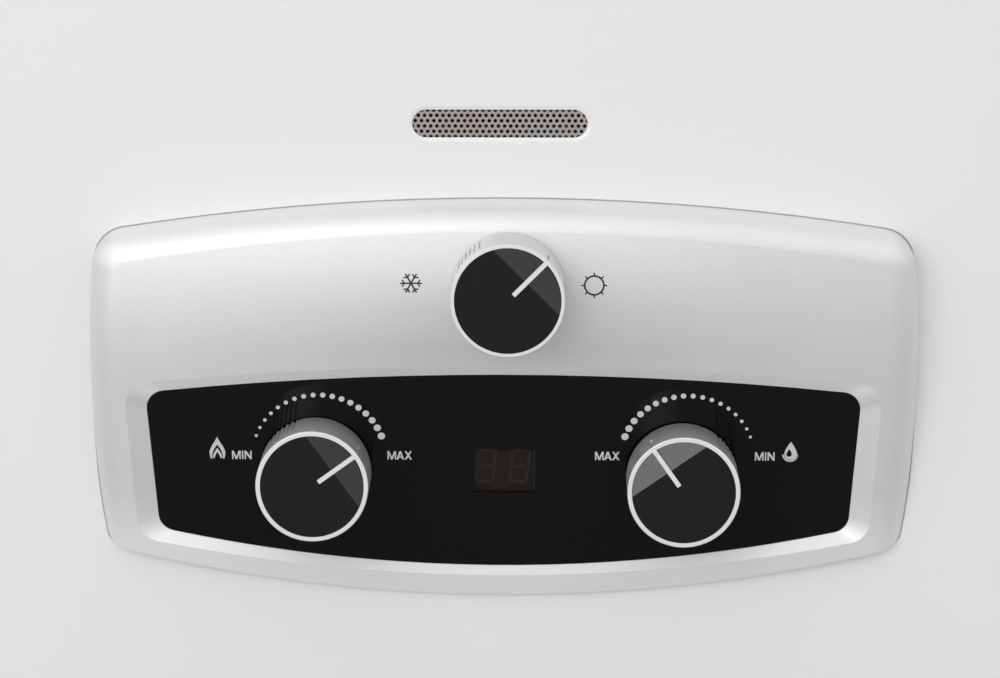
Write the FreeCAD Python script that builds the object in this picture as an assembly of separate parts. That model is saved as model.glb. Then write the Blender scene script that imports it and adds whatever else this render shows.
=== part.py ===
"""Portable propane water heater: wall-hung, gas-fired, with three control knobs.

Frame: millimetres, +Z up, the wall is the plane y = 0 and the front looks along -Y.
The origin is the centre of the hanging hole in the tab above the casing.
"""
import FreeCAD
import Part
import os
from math import asin, cos, pi, radians, sin, sqrt, tan

V = FreeCAD.Vector
X_AXIS = V(1, 0, 0)
Y_AXIS = V(0, 1, 0)
Z_AXIS = V(0, 0, 1)

# ---- casing ---------------------------------------------------------------
CASING_WIDTH = 360.0
CASING_HEIGHT = 530.0
CASING_DEPTH = 140.0
COVER_WALL = 0.8
COVER_SIDE_RADIUS = 12.0
COVER_END_RADIUS = 10.0
COVER_LIP = 16.0            # depth of the lip under the front of the open bottom
COVER_FIT = 0.3             # air between the cover and the back plate's flanges
BACK_WALL = 1.2
BACK_FLANGE = 16.0
HANG_RISE = 22.0            # hanging hole above the casing
HANG_HOLE_RADIUS = 5.5
HANG_SLOT_WIDTH = 6.0
HANG_SLOT_RISE = 9.0
HANG_TAB_WIDTH = 64.0
HANG_TAB_TOP = 20.0
FOOT_TAB_SPACING = 260.0
FOOT_TAB_WIDTH = 26.0
FOOT_TAB_DROP = 22.0
FOOT_HOLE_RADIUS = 3.5
BOTTOM_WALL = 1.2
FLOOR_RIM = 18.0
LOUVRE_LENGTH = 34.0
LOUVRE_HEIGHT = 3.5
LOUVRE_PITCH = 14.0
LOUVRE_ROWS = 7
LOUVRE_COLUMNS = 2
SCREW_RADIUS = 2.0
SCREW_HEAD_RADIUS = 4.0
SCREW_HEAD = 2.2

# ---- flame window ---------------------------------------------------------
SLOT_WIDTH = 56.2
SLOT_HEIGHT = 9.0
SLOT_RIM = 1.2              # width of the rim pressed in round the slot
SLOT_RIM_DEPTH = 0.35
SLOT_ABOVE_BEZEL = 24.2     # slot centre above the bezel's top edge
SLOT_SHIFT = -1.1           # slot, dials and season knob stand a little off the bezel's axis
SCREEN_MARGIN = 6.0
SCREEN_WALL = 0.6
SCREEN_PITCH = 1.97
SCREEN_HOLE_RADIUS = 0.6

# ---- control bezel --------------------------------------------------------
BEZEL_ABOVE_BOTTOM = 42.0
BEZEL_HEIGHT = 131.0
BEZEL_WIDTH = 266.4
BEZEL_TOP_TAPER = 2.2       # each top corner inside the widest line
BEZEL_BOTTOM_TAPER = 3.4
BEZEL_TOP_RISE = 11.0
BEZEL_BOTTOM_RISE = 17.2
BEZEL_TOP_CORNER = 11.0
BEZEL_BOTTOM_CORNER = 9.5
BEZEL_WALL = 2.4
BEZEL_ROLL = 9.0            # radius that rolls the top and both ends back
BEZEL_EDGE = 1.8            # thickness left along the bottom edge
CROWN_RADIUS = 165.0
BEZEL_BOSS_ROOM = 2.0       # between the bezel's screw bosses and its rolled ends
PANEL_TILT = 9.5            # degrees that the dial panel leans back at the foot
POCKET_DEPTH = 3.0
POCKET_FLARE_TOP = 4.0
POCKET_FLARE_BOTTOM = 2.2
POCKET_FLARE_SIDE = 6.6
INSERT_WALL = 2.0
INSERT_SIDE_BAND = 18.0     # bezel left beside the dial panel's top corners
INSERT_TAPER = 3.2          # each bottom corner inside the top one
INSERT_ABOVE_KNOB = 33.8
INSERT_BELOW_KNOB = 33.0
INSERT_TOP_RISE = 6.4
INSERT_BOTTOM_RISE = 13.1
INSERT_CORNER = 6.0
INSERT_FIT = 0.15

# ---- knobs ----------------------------------------------------------------
DIAL_KNOB_HEIGHT = 42.1     # gas and water knob axes above the bezel's foot
DIAL_KNOB_SPACING = 118.4
DIAL_SHIFT = -1.4
DIAL_STAGGER = 0.8          # gas knob above and water knob below their common line
SEASON_KNOB_HEIGHT = 104.8
SEASON_SHIFT = 1.9
KNOB_RADIUS = 18.0
KNOB_LENGTH = 20.4
KNOB_WALL = 2.0
KNOB_WEB = 3.0
KNOB_LIFT = 0.6             # running gap between knob and panel
DIAL_RIM = 1.45
SEASON_RIM = 1.15
POINTER_WIDTH = 1.45
POINTER_START = 2.5
CAP_DEPTH = 3.2
CAP_FIT = 0.05
CAP_SET_BACK = 0.2
FACET_START = 8.2
FACET_DROP = 1.8
GRIP_GROOVES = 6
GRIP_STEP = 6.0
GRIP_WIDTH = 0.9
GRIP_DEPTH = 0.5
GRIP_LENGTH = 14.0          # from the knob's back edge
INDEX_LENGTH = 9.5
INDEX_SET_BACK = 1.2
HUB_RADIUS = 7.0
SPINDLE_RADIUS = 4.0
SPINDLE_FLAT = 1.2
SPINDLE_FIT = 0.05
SPINDLE_HOLE_GAP = 1.0
GAS_REST = 54.0             # pointer angles, clockwise from straight up
WATER_REST = -35.0
SEASON_REST = 45.0

# ---- display --------------------------------------------------------------
DISPLAY_WIDTH = 20.6
DISPLAY_HEIGHT = 15.8
DISPLAY_THICK = 7.0
DISPLAY_FIT = 0.3
DISPLAY_BOARD_MARGIN = 7.0
BOARD_WALL = 1.6

# ---- flue -----------------------------------------------------------------
FLUE_WIDTH = 196.0
FLUE_DEPTH = 52.0
FLUE_WALL = 0.8
FLUE_INSET = 70.0           # middle of the flue behind the casing's front
FLUE_RISE = 8.0             # throat of the hood above the casing
FLUE_GAP = 1.0
CAP_WIDTH = 244.0
CAP_DEPTH_Y = 92.0
CAP_UNDER = 30.0            # cap skin above the casing
CAP_LIP = 12.0
CAP_WALL = 1.0
CAP_CORNER = 8.0
POST_RADIUS = 4.0
POST_INSET = 16.0

# ---- carrying bail --------------------------------------------------------
BAIL_SPAN = 284.0
BAIL_ARM = 78.0
BAIL_RADIUS = 3.0
BAIL_BEND = 14.0
BAIL_RISE = 12.0
BAIL_PIN = 12.0
BAIL_FIT = 0.1
BAIL_STOP_GAP = 0.3
GRIP_RADIUS = 9.0
GRIP_SPAN = 110.0
LUG_WIDTH = 5.0
LUG_RADIUS = 8.0

# ---- exchanger ------------------------------------------------------------
JACKET_SIDE_ROOM = 68.0     # from each side of the casing
JACKET_DEPTH = 82.0
JACKET_WALL = 1.0
JACKET_INSET = 81.0         # middle of the jacket behind the casing's front
JACKET_DROP = 88.0          # top of the jacket under the casing's top
FLAME_GAP = 17.0            # foot of the jacket above the burners
FIN_COUNT = 20
FIN_WALL = 0.8
FIN_HEIGHT = 50.0
FIN_DROP = 2.0
CORE_RADIUS = 5.0
CORE_PASSES = 4
CORE_PITCH = 19.0
PIPE_RADIUS = 6.0
PIPE_BORE = 5.0
PIPE_BEND = 10.0
PIPE_GAP = 0.3
PROBE_RADIUS = 2.5
PROBE_LENGTH = 18.0
COIL_RISE = 55.0            # lower turn above the jacket's foot
COIL_STEP = 35.0

# ---- burner ---------------------------------------------------------------
BURNER_COUNT = 10
BURNER_SIDE_ROOM = 12.0     # jacket left beside the outer burners' share
BURNER_FILL = 0.6           # burner thickness as a share of the pitch
BURNER_RISE = 43.2          # flame ports above the manifold's axis
BURNER_DROP = 12.8          # foot of the burners under the manifold's axis
BURNER_INSET = 43.0         # mouths of the burners behind the casing's front
BURNER_LENGTH = 75.0
BURNER_PORTS = 6
MANIFOLD_SIZE = 20.0
MANIFOLD_INSET = 22.0
NOZZLE_LENGTH = 9.0
NOZZLE_RADIUS = 3.5

# ---- gas and water valves -------------------------------------------------
VALVE_INSET = 74.0          # axes of fittings and valves behind the casing's front
VALVE_SIZE = 52.0
VALVE_ROUND = 5.0
BOSS_RADIUS = 11.0
BOSS_LENGTH = 14.0
DIAPHRAGM_RADIUS = 31.0
DIAPHRAGM_WALL = 1.5
FLANGE_WALL = 8.0
FLANGE_LAND = 9.0           # flat rim of the diaphragm's flange outside the dome
DOME_WALL = 3.0
DOME_RISE = 10.0
ROD_PLATE_RADIUS = 13.0
ROD_PLATE_WALL = 2.0
GUIDE_LENGTH = 6.0
ROD_SEAT = 8.0              # rod inside the gas valve at rest
ROD_RADIUS = 2.5
ROD_FIT = 0.05
ROD_TRAVEL = 4.0
THREAD_RADIUS = 10.48
THREAD_LENGTH = 14.0
THREAD_BORE = 7.5
NUT_FLATS = 27.0
NUT_LENGTH = 8.0
HOT_INSET = 28.0            # hot outlet from the casing's left side
PLUG_RADIUS = 6.0
DRAIN_DEPTH = 13.0
PLUG_FIT = 0.1

# ---- battery box ----------------------------------------------------------
CELL_RADIUS = 16.8
CELL_LENGTH = 61.0
CELL_GAP = 0.4
BOX_WALL = 2.0
BOX_RIGHT_GAP = 10.0
BOX_INSET = 48.0
CONTACT_WALL = 0.5
DOOR_WALL = 2.4
DOOR_FIT = 0.3
DOOR_PIN = 1.5

# ---- igniter --------------------------------------------------------------
IGNITER_WIDTH = 48.0
IGNITER_DEPTH = 28.0
IGNITER_HEIGHT = 72.0

# ---- heights and places that follow from the sizes above ------------------
CASING_TOP = -HANG_RISE
CASING_BOTTOM = CASING_TOP - CASING_HEIGHT
FRONT = -CASING_DEPTH
BEZEL_BOTTOM = CASING_BOTTOM + BEZEL_ABOVE_BOTTOM
BEZEL_TOP = BEZEL_BOTTOM + BEZEL_HEIGHT
DIAL_Z = BEZEL_BOTTOM + DIAL_KNOB_HEIGHT
SEASON_Z = BEZEL_BOTTOM + SEASON_KNOB_HEIGHT
GAS_Z = DIAL_Z + DIAL_STAGGER
WATER_Z = DIAL_Z - DIAL_STAGGER
SLOT_Z = BEZEL_TOP + SLOT_ABOVE_BEZEL
GAS_X = DIAL_SHIFT - DIAL_KNOB_SPACING / 2
WATER_X = DIAL_SHIFT + DIAL_KNOB_SPACING / 2
SEASON_X = SEASON_SHIFT
INSERT_TOP_WIDTH = BEZEL_WIDTH - 2 * INSERT_SIDE_BAND
INSERT_BOTTOM_WIDTH = INSERT_TOP_WIDTH - 2 * INSERT_TAPER
HOT_X = HOT_INSET - CASING_WIDTH / 2
TILT = radians(PANEL_TILT)
SLOPE_TOP_Z = SEASON_Z - CROWN_RADIUS * sin(TILT)
SLOPE_TOP_OUT = BEZEL_EDGE + (SLOPE_TOP_Z - BEZEL_BOTTOM) * tan(TILT)
CROWN_OUT = SLOPE_TOP_OUT + CROWN_RADIUS * (1 - cos(TILT))
INSERT_OUT = SLOPE_TOP_OUT - (SLOPE_TOP_Z - DIAL_Z) * tan(TILT) - POCKET_DEPTH / cos(TILT)
DIAL_KNOB_OUT = INSERT_OUT + (KNOB_RADIUS + DIAL_STAGGER) * tan(TILT) + KNOB_LIFT
SEASON_KNOB_OUT = CROWN_OUT + KNOB_LIFT
FLOOR_UNDER = CASING_BOTTOM + COVER_WALL + COVER_FIT
FLOOR_Z = FLOOR_UNDER + BOTTOM_WALL
VALVE_Z = DIAL_Z - 6.0
VALVE_Y = FRONT + VALVE_INSET
MANIFOLD_Y = FRONT + MANIFOLD_INSET
FLUE_Y = FRONT + FLUE_INSET
BAIL_Y = FRONT + BAIL_ARM
BOX_Y = FRONT + BOX_INSET
BURNER_TOP = SEASON_Z + BURNER_RISE
BURNER_LOW = SEASON_Z - BURNER_DROP
BURNER_FRONT = FRONT + BURNER_INSET
BURNER_BACK = BURNER_FRONT + BURNER_LENGTH
JACKET_WIDTH = CASING_WIDTH - 2 * JACKET_SIDE_ROOM
BURNER_PITCH = (JACKET_WIDTH - 2 * BURNER_SIDE_ROOM) / BURNER_COUNT
BURNER_WALL = BURNER_PITCH * BURNER_FILL
JACKET_Y = FRONT + JACKET_INSET
JACKET_TOP = CASING_TOP - JACKET_DROP
JACKET_BOTTOM = BURNER_TOP + FLAME_GAP
COIL_LOW = JACKET_BOTTOM + COIL_RISE
COIL_HIGH = COIL_LOW + COIL_STEP


# ---- small helpers --------------------------------------------------------
NEAR = 1e-6                 # below this two lengths count as equal


def span(x0, x1, y0, y1, z0, z1):
    """Box between two corners."""
    return Part.makeBox(x1 - x0, y1 - y0, z1 - z0, V(x0, y0, z0))


def rod(radius, start, end):
    """Round bar between two points."""
    return Part.makeCylinder(radius, (end - start).Length, start, end - start)


def ring(outer, inner, start, end):
    """Tube between two points."""
    return rod(outer, start, end).cut(rod(inner, start, end))


def join(shapes):
    """One solid from shapes that touch or overlap."""
    return shapes[0].fuse(shapes[1:]).removeSplitter()


def group(shapes):
    """Separate solids kept in one node."""
    return Part.makeCompound(shapes)


def edges_along(shape, axis):
    """Straight edges that run along an axis."""
    straight = [edge for edge in shape.Edges if isinstance(edge.Curve, Part.Line)]
    return [edge for edge in straight
            if abs(edge.tangentAt(edge.FirstParameter).dot(axis)) > 1 - NEAR]


def block(x0, x1, y0, y1, z0, z1, radius, axis=Z_AXIS):
    """Box with its four edges along one axis rounded."""
    body = span(x0, x1, y0, y1, z0, z1)
    return body.makeFillet(radius, edges_along(body, axis))


def tube_path(points, bend):
    """Wire through the points with every corner rounded to the bend radius."""
    edges = []
    start = points[0]
    for before, corner, after in zip(points, points[1:], points[2:]):
        incoming = (corner - before).normalize()
        outgoing = (after - corner).normalize()
        turn = incoming.getAngle(outgoing)
        reach = bend * tan(turn / 2)
        enter = corner - incoming * reach
        leave = corner + outgoing * reach
        inward = (outgoing - incoming).normalize()
        middle = corner + inward * (bend / cos(turn / 2) - bend)
        if (enter - start).Length > NEAR:
            edges.append(Part.LineSegment(start, enter).toShape())
        edges.append(Part.Arc(enter, middle, leave).toShape())
        start = leave
    if (points[-1] - start).Length > NEAR:
        edges.append(Part.LineSegment(start, points[-1]).toShape())
    return Part.Wire(edges)


def sweep_round(points, bend, radius):
    """Round bar bent along the points."""
    path = tube_path(points, bend)
    section = Part.Wire(Part.makeCircle(radius, points[0], points[1] - points[0]))
    return path.makePipeShell([section], True, True)


def bent_pipe(points, bend=PIPE_BEND, outer=PIPE_RADIUS, bore=PIPE_BORE):
    """Hollow pipe bent along the points."""
    return sweep_round(points, bend, outer).cut(sweep_round(points, bend, bore))


def face_front(shape, height, out, tilt=0.0):
    """Stand a shape drawn in X and Y, rising along Z, up against the casing front.

    Its Y turns to the world's up and its Z to the front. The tilt, in degrees,
    leans the top forward.
    """
    placed = shape.copy()
    placed.rotate(V(), X_AXIS, 90 + tilt)
    placed.translate(V(0, FRONT - out, height))
    return placed


def crowned_outline(top_half, low_half, top, low, top_rise, low_rise, side_bulge=0.0):
    """Four-sided outline with arched top and bottom; top and low are its ends at x = 0."""
    top_left, top_right = V(-top_half, top - top_rise, 0), V(top_half, top - top_rise, 0)
    low_left, low_right = V(-low_half, low + low_rise, 0), V(low_half, low + low_rise, 0)
    middle = (top_half + low_half) / 2 + side_bulge
    waist = (top_left.y + low_left.y) / 2
    edges = [Part.Arc(top_left, V(0, top, 0), top_right).toShape(),
             side_edge(top_right, V(middle, waist, 0), low_right, side_bulge),
             Part.Arc(low_right, V(0, low, 0), low_left).toShape(),
             side_edge(low_left, V(-middle, waist, 0), top_left, side_bulge)]
    return Part.Wire(edges)


def side_edge(start, middle, end, bulge):
    """Straight edge, or an arc where the side bulges."""
    if bulge:
        return Part.Arc(start, middle, end).toShape()
    return Part.LineSegment(start, end).toShape()


def upright_corners(body, waist):
    """Vertical edges of an extruded outline, as those above and below the waist."""
    edges = edges_along(body, Z_AXIS)
    above = [edge for edge in edges if edge.CenterOfMass.y > waist]
    below = [edge for edge in edges if edge.CenterOfMass.y < waist]
    return above, below


def rounded_slab(outline, height, top_corner, low_corner):
    """Extruded outline with its upright corners rounded."""
    body = Part.Face(outline).extrude(V(0, 0, height))
    waist = outline.BoundBox.Center.y
    above, below = upright_corners(body, waist)
    body = body.makeFillet(top_corner, above)
    above, below = upright_corners(body, waist)
    lowest = min(edge.CenterOfMass.y for edge in below)
    corners = [edge for edge in below if edge.CenterOfMass.y < lowest + 1]
    return body.makeFillet(low_corner, corners)


def foot_wire(body):
    """Outer wire of the face that lies in z = 0."""
    faces = [face for face in body.Faces if abs(face.CenterOfMass.z) < NEAR]
    return faces[0].OuterWire


# ---- casing ---------------------------------------------------------------
def back_plate():
    """Shallow tray against the wall, with the hanging tab and two foot tabs."""
    tray = nested_tray(-BACK_FLANGE, 0).cut(
        cover_block(COVER_WALL + COVER_FIT + BACK_WALL).translated(V(0, -BACK_WALL, 0)))
    top = CASING_TOP - COVER_WALL - COVER_FIT
    tab = block(-HANG_TAB_WIDTH / 2, HANG_TAB_WIDTH / 2, -BACK_WALL, 0, top - HANG_TAB_TOP,
                HANG_TAB_TOP, HANG_TAB_TOP / 2, Y_AXIS)
    feet = [block(x - FOOT_TAB_WIDTH / 2, x + FOOT_TAB_WIDTH / 2, -BACK_WALL, 0,
                  CASING_BOTTOM - FOOT_TAB_DROP, CASING_BOTTOM + FOOT_TAB_DROP,
                  FOOT_TAB_WIDTH / 4, Y_AXIS)
            for x in foot_tab_places()]
    plate = join([tray, tab] + feet)
    hole = rod(HANG_HOLE_RADIUS, V(0, -2 * BACK_WALL, 0), V(0, BACK_WALL, 0))
    slot_half = HANG_SLOT_WIDTH / 2
    slot = span(-slot_half, slot_half, -2 * BACK_WALL, BACK_WALL, 0, HANG_SLOT_RISE)
    slot_end = rod(slot_half, V(0, -2 * BACK_WALL, HANG_SLOT_RISE), V(0, BACK_WALL, HANG_SLOT_RISE))
    foot_z = CASING_BOTTOM - FOOT_TAB_DROP / 2
    holes = [rod(FOOT_HOLE_RADIUS, V(x, -2 * BACK_WALL, foot_z), V(x, BACK_WALL, foot_z))
             for x in foot_tab_places()]
    screws = [rod(SCREW_RADIUS, start, end) for start, end in cover_screw_lines()]
    return plate.cut([hole, slot, slot_end] + holes + screws)


def nested_tray(front, back):
    """Solid that nests inside the cover between two depths, before it is hollowed."""
    half = CASING_WIDTH / 2
    return cover_block(COVER_WALL + COVER_FIT).common(
        span(-half, half, front, back, CASING_BOTTOM, CASING_TOP))


def foot_tab_places():
    return (-FOOT_TAB_SPACING / 2, FOOT_TAB_SPACING / 2)


def cover_screw_lines():
    """Shank of each cover screw, from under its head inwards."""
    half = CASING_WIDTH / 2
    depth = COVER_WALL + COVER_FIT + BACK_WALL + 4
    lines = []
    for side in (-1, 1):
        for height in (CASING_TOP - CASING_HEIGHT * 0.15, CASING_BOTTOM + CASING_HEIGHT * 0.15):
            start = V(side * half, -BACK_FLANGE / 2, height)
            lines.append((start, start - V(side * depth, 0, 0)))
    return lines


def cover_screws():
    screws = []
    for start, end in cover_screw_lines():
        outward = (start - end).normalize()
        head = rod(SCREW_HEAD_RADIUS, start, start + outward * SCREW_HEAD)
        rim = [edge for edge in head.Edges
               if isinstance(edge.Curve, Part.Circle) and abs(edge.Curve.Center.x) > abs(start.x) + 1]
        head = head.makeFillet(SCREW_HEAD * 0.6, rim)
        cross = [span(-SCREW_HEAD_RADIUS * 2, SCREW_HEAD_RADIUS * 2, -0.5, 0.5, -2.2, 2.2),
                 span(-SCREW_HEAD_RADIUS * 2, SCREW_HEAD_RADIUS * 2, -2.2, 2.2, -0.5, 0.5)]
        for bar in cross:
            bar.translate(start + outward * (SCREW_HEAD * 0.45 + SCREW_HEAD_RADIUS * 2))
        screws.append(head.fuse(rod(SCREW_RADIUS, start, end)).cut(cross))
    return group(screws)


def cover_block(inset):
    """Solid bounded by the cover's skin, drawn in by an inset."""
    half = CASING_WIDTH / 2 - inset
    top, low = CASING_TOP - inset, CASING_BOTTOM + inset
    body = span(-half, half, FRONT + inset, 0, low, top)
    uprights = [edge for edge in edges_along(body, Z_AXIS) if edge.CenterOfMass.y < FRONT + inset + 1]
    body = body.makeFillet(COVER_SIDE_RADIUS - inset, uprights)
    ends = [edge for edge in edges_along(body, X_AXIS) if edge.CenterOfMass.y < FRONT + inset + 1]
    return body.makeFillet(COVER_END_RADIUS - inset, ends)


def slot_shape(height, grow=0.0):
    """Upright stadium for the flame window, drawn in X and Y."""
    half = SLOT_WIDTH / 2 + grow
    radius = SLOT_HEIGHT / 2 + grow
    body = span(-half, half, -radius, radius, 0, height)
    return body.makeFillet(radius * 0.999, edges_along(body, Z_AXIS))


def flame_window():
    """Way through the cover for the flame window, widened over its pressed rim."""
    way = slot_shape(6 * COVER_WALL)
    wide = foot_wire(slot_shape(1, 2 * SLOT_RIM))
    wide.translate(V(0, 0, 2 * SLOT_RIM_DEPTH))
    rim = Part.makeLoft([foot_wire(slot_shape(1)), wide], True, True)
    rim.translate(V(0, 0, 3 * COVER_WALL - SLOT_RIM_DEPTH))
    return face_front(way.fuse(rim), SLOT_Z, -3 * COVER_WALL).translated(V(SLOT_SHIFT, 0, 0))


def louvres():
    """Air slots for both sides, cut right through the cover."""
    cuts = []
    reach = CASING_WIDTH / 2 + COVER_WALL
    pitch = CASING_DEPTH / (LOUVRE_COLUMNS + 1)
    for column in range(LOUVRE_COLUMNS):
        middle = FRONT / 2 + (column - (LOUVRE_COLUMNS - 1) / 2) * pitch
        for row in range(LOUVRE_ROWS):
            height = SEASON_Z + (row - (LOUVRE_ROWS - 1) / 2) * LOUVRE_PITCH
            slot = span(-reach, reach, middle - LOUVRE_LENGTH / 2, middle + LOUVRE_LENGTH / 2,
                        height - LOUVRE_HEIGHT / 2, height + LOUVRE_HEIGHT / 2)
            cuts.append(slot.makeFillet(LOUVRE_HEIGHT * 0.49, edges_along(slot, X_AXIS)))
    return cuts


def panel_openings():
    """Holes in the cover behind the bezel: one for the recess's tub, one for the season spindle."""
    depth = 2 * CROWN_OUT
    grow = INSERT_FIT + BEZEL_WALL + COVER_FIT * 3
    tub = rounded_slab(insert_outline(0, grow), 2 * depth, INSERT_CORNER + grow, INSERT_CORNER + grow)
    tub.translate(V(0, 0, -depth))
    tub = face_front(tub, DIAL_Z, INSERT_OUT, PANEL_TILT)
    spindle_way = rod(2 * SPINDLE_RADIUS, V(SEASON_X, FRONT - 1, SEASON_Z),
                      V(SEASON_X, FRONT + 2 * COVER_WALL, SEASON_Z))
    return [tub, spindle_way]


def front_cover():
    shell = cover_block(0).cut(cover_block(COVER_WALL))
    foot = span(-CASING_WIDTH, CASING_WIDTH, FRONT + COVER_LIP, 1, CASING_BOTTOM - 1,
                CASING_BOTTOM + COVER_WALL)
    back = span(-CASING_WIDTH, CASING_WIDTH, -COVER_FIT, 1, CASING_BOTTOM - 1, CASING_TOP + 1)
    tab_half = HANG_TAB_WIDTH / 2 + FLUE_GAP
    tab_way = span(-tab_half, tab_half, -BACK_WALL - FLUE_GAP, 1,
                   CASING_TOP - 2 * COVER_WALL, CASING_TOP + 1)
    throat_gap = FLUE_GAP + FLUE_WALL
    throat = block(-FLUE_WIDTH / 2 - throat_gap, FLUE_WIDTH / 2 + throat_gap,
                   FLUE_Y - FLUE_DEPTH / 2 - throat_gap, FLUE_Y + FLUE_DEPTH / 2 + throat_gap,
                   CASING_TOP - 2 * COVER_WALL, CASING_TOP + COVER_WALL, FLUE_GAP)
    screws = [rod(SCREW_RADIUS + 0.1, start + V(start.x / abs(start.x), 0, 0), end)
              for start, end in cover_screw_lines()]
    bezel_holes = [rod(SCREW_RADIUS + 0.1, start, end) for start, end in bezel_screw_lines()]
    openings = [foot, back, tab_way, throat, flame_window()] + panel_openings() + louvres()
    return shell.cut(openings + screws + bezel_holes)


def bottom_plate():
    """Floor between the cover's lip and the back plate, carrying fittings and battery door."""
    half = CASING_WIDTH / 2
    front, back = FRONT + COVER_LIP / 2, -BACK_FLANGE - COVER_FIT
    body = nested_tray(front, back).common(
        span(-half, half, front, back, CASING_BOTTOM, CASING_BOTTOM + FLOOR_RIM))
    body = body.cut(cover_block(COVER_WALL + COVER_FIT + BOTTOM_WALL))
    holes = [rod(THREAD_RADIUS + 0.5, V(x, VALVE_Y, CASING_BOTTOM - 1), V(x, VALVE_Y, FLOOR_Z + 1))
             for x in (HOT_X, GAS_X, WATER_X)]
    holes.append(rod(PLUG_RADIUS + 1, on_drain(CASING_BOTTOM - 1), on_drain(FLOOR_Z + 1)))
    left, right, front, back = battery_walls()
    holes.append(span(left + BOX_WALL, right - BOX_WALL, front + BOX_WALL, back - BOX_WALL,
                      CASING_BOTTOM - 1, FLOOR_Z + 1))
    pitch = LOUVRE_PITCH
    for row in range(4):
        y = VALVE_Y + THREAD_RADIUS * 2 + row * pitch / 1.5
        slot = span(-LOUVRE_LENGTH, LOUVRE_LENGTH, y, y + LOUVRE_HEIGHT, CASING_BOTTOM - 1, FLOOR_Z + 1)
        holes.append(slot.makeFillet(LOUVRE_HEIGHT * 0.49, edges_along(slot, Z_AXIS)))
    return join([body.cut(holes)] + hinge_ears())


def inspection_screen():
    """Perforated plate behind the flame window, with staggered rows of round holes."""
    half = SLOT_WIDTH / 2 + SCREEN_MARGIN
    tall = SLOT_HEIGHT / 2 + SCREEN_MARGIN
    plate = span(-half, half, -tall, tall, 0, SCREEN_WALL)
    row_pitch = SCREEN_PITCH * sqrt(3) / 2
    rows = int(SLOT_HEIGHT / row_pitch) + 1
    columns = int(SLOT_WIDTH / SCREEN_PITCH) + 1
    holes = []
    for row in range(rows):
        shift = SCREEN_PITCH / 2 * (row % 2)
        for column in range(columns):
            x = (column - (columns - 1) / 2) * SCREEN_PITCH + shift - SCREEN_PITCH / 4
            y = (row - (rows - 1) / 2) * row_pitch
            holes.append(Part.makeCylinder(SCREEN_HOLE_RADIUS, 3 * SCREEN_WALL, V(x, y, -SCREEN_WALL)))
    screen = face_front(plate.cut(holes), SLOT_Z, -COVER_WALL - SCREEN_WALL)
    return screen.translated(V(SLOT_SHIFT, 0, 0))


# ---- control bezel --------------------------------------------------------
def bezel_outline(inset):
    """Outline of the bezel, drawn in by an inset, with y = 0 at its foot."""
    return crowned_outline(BEZEL_WIDTH / 2 - BEZEL_TOP_TAPER - inset,
                           BEZEL_WIDTH / 2 - BEZEL_BOTTOM_TAPER - inset,
                           BEZEL_HEIGHT - inset, inset, BEZEL_TOP_RISE, BEZEL_BOTTOM_RISE,
                           (BEZEL_TOP_TAPER + BEZEL_BOTTOM_TAPER) / 2)


def crown_profile(inset, behind):
    """Crowned and sloping front of the bezel, endless to the sides, closed behind the casing."""
    radius = CROWN_RADIUS - inset
    hub = V(0, SEASON_KNOB_HEIGHT, CROWN_OUT - CROWN_RADIUS)
    past = 2 * BEZEL_ROLL
    top_turn = asin((BEZEL_HEIGHT + past - SEASON_KNOB_HEIGHT) / radius)

    def on_crown(turn):
        return hub + V(0, radius * sin(turn), radius * cos(turn))

    start, middle, end = on_crown(top_turn), on_crown((top_turn - TILT) / 2), on_crown(-TILT)
    foot = end - V(0, cos(TILT), sin(TILT)) * ((end.y + past) / cos(TILT))
    edges = [Part.Arc(start, middle, end).toShape(), Part.LineSegment(end, foot).toShape(),
             Part.LineSegment(foot, V(0, foot.y, -behind)).toShape(),
             Part.LineSegment(V(0, foot.y, -behind), V(0, start.y, -behind)).toShape(),
             Part.LineSegment(V(0, start.y, -behind), start).toShape()]
    profile = Part.Face(Part.Wire(edges))
    profile.translate(V(-BEZEL_WIDTH, 0, 0))
    return profile.extrude(V(2 * BEZEL_WIDTH, 0, 0))


def rolled_form(inset):
    """Bezel with its top and ends rolled back, its foot left square and its back far behind."""
    behind = CROWN_OUT + 2 * BEZEL_ROLL
    outline = bezel_outline(inset)
    slab = Part.Face(outline).extrude(V(0, 0, behind + CROWN_OUT + BEZEL_WALL))
    above, _ = upright_corners(slab, outline.BoundBox.Center.y)
    slab = slab.makeFillet(BEZEL_TOP_CORNER - inset, above)
    body = slab.translated(V(0, 0, -behind)).common(crown_profile(inset, behind + BEZEL_WALL))
    rim = []
    for edge in body.Edges:
        box = edge.BoundBox
        crease = box.ZLength < NEAR and box.YLength < NEAR
        foot = edge.CenterOfMass.y < BEZEL_BOTTOM_RISE
        if box.ZMin > -behind + BEZEL_WALL and not crease and not foot:
            rim.append(edge)
    return body.makeFillet(BEZEL_ROLL - inset, rim)


def bezel_block(inset, behind=0.0):
    """Bezel as a full solid, drawn in by an inset and reaching behind the cover's face."""
    outline = rounded_slab(bezel_outline(inset), behind + CROWN_OUT + BEZEL_WALL,
                           BEZEL_TOP_CORNER - inset, BEZEL_BOTTOM_CORNER - inset)
    return outline.translated(V(0, 0, -behind)).common(rolled_form(inset))


def insert_outline(flare, grow):
    """Dial panel outline in the sloping panel's own plane, y = 0 at the dial knobs."""
    top = INSERT_ABOVE_KNOB + grow + flare * POCKET_FLARE_TOP
    low = -INSERT_BELOW_KNOB - grow - flare * POCKET_FLARE_BOTTOM
    side = grow + flare * POCKET_FLARE_SIDE
    return crowned_outline(INSERT_TOP_WIDTH / 2 + side, INSERT_BOTTOM_WIDTH / 2 + side,
                           top, low, INSERT_TOP_RISE, INSERT_BOTTOM_RISE)


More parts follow.
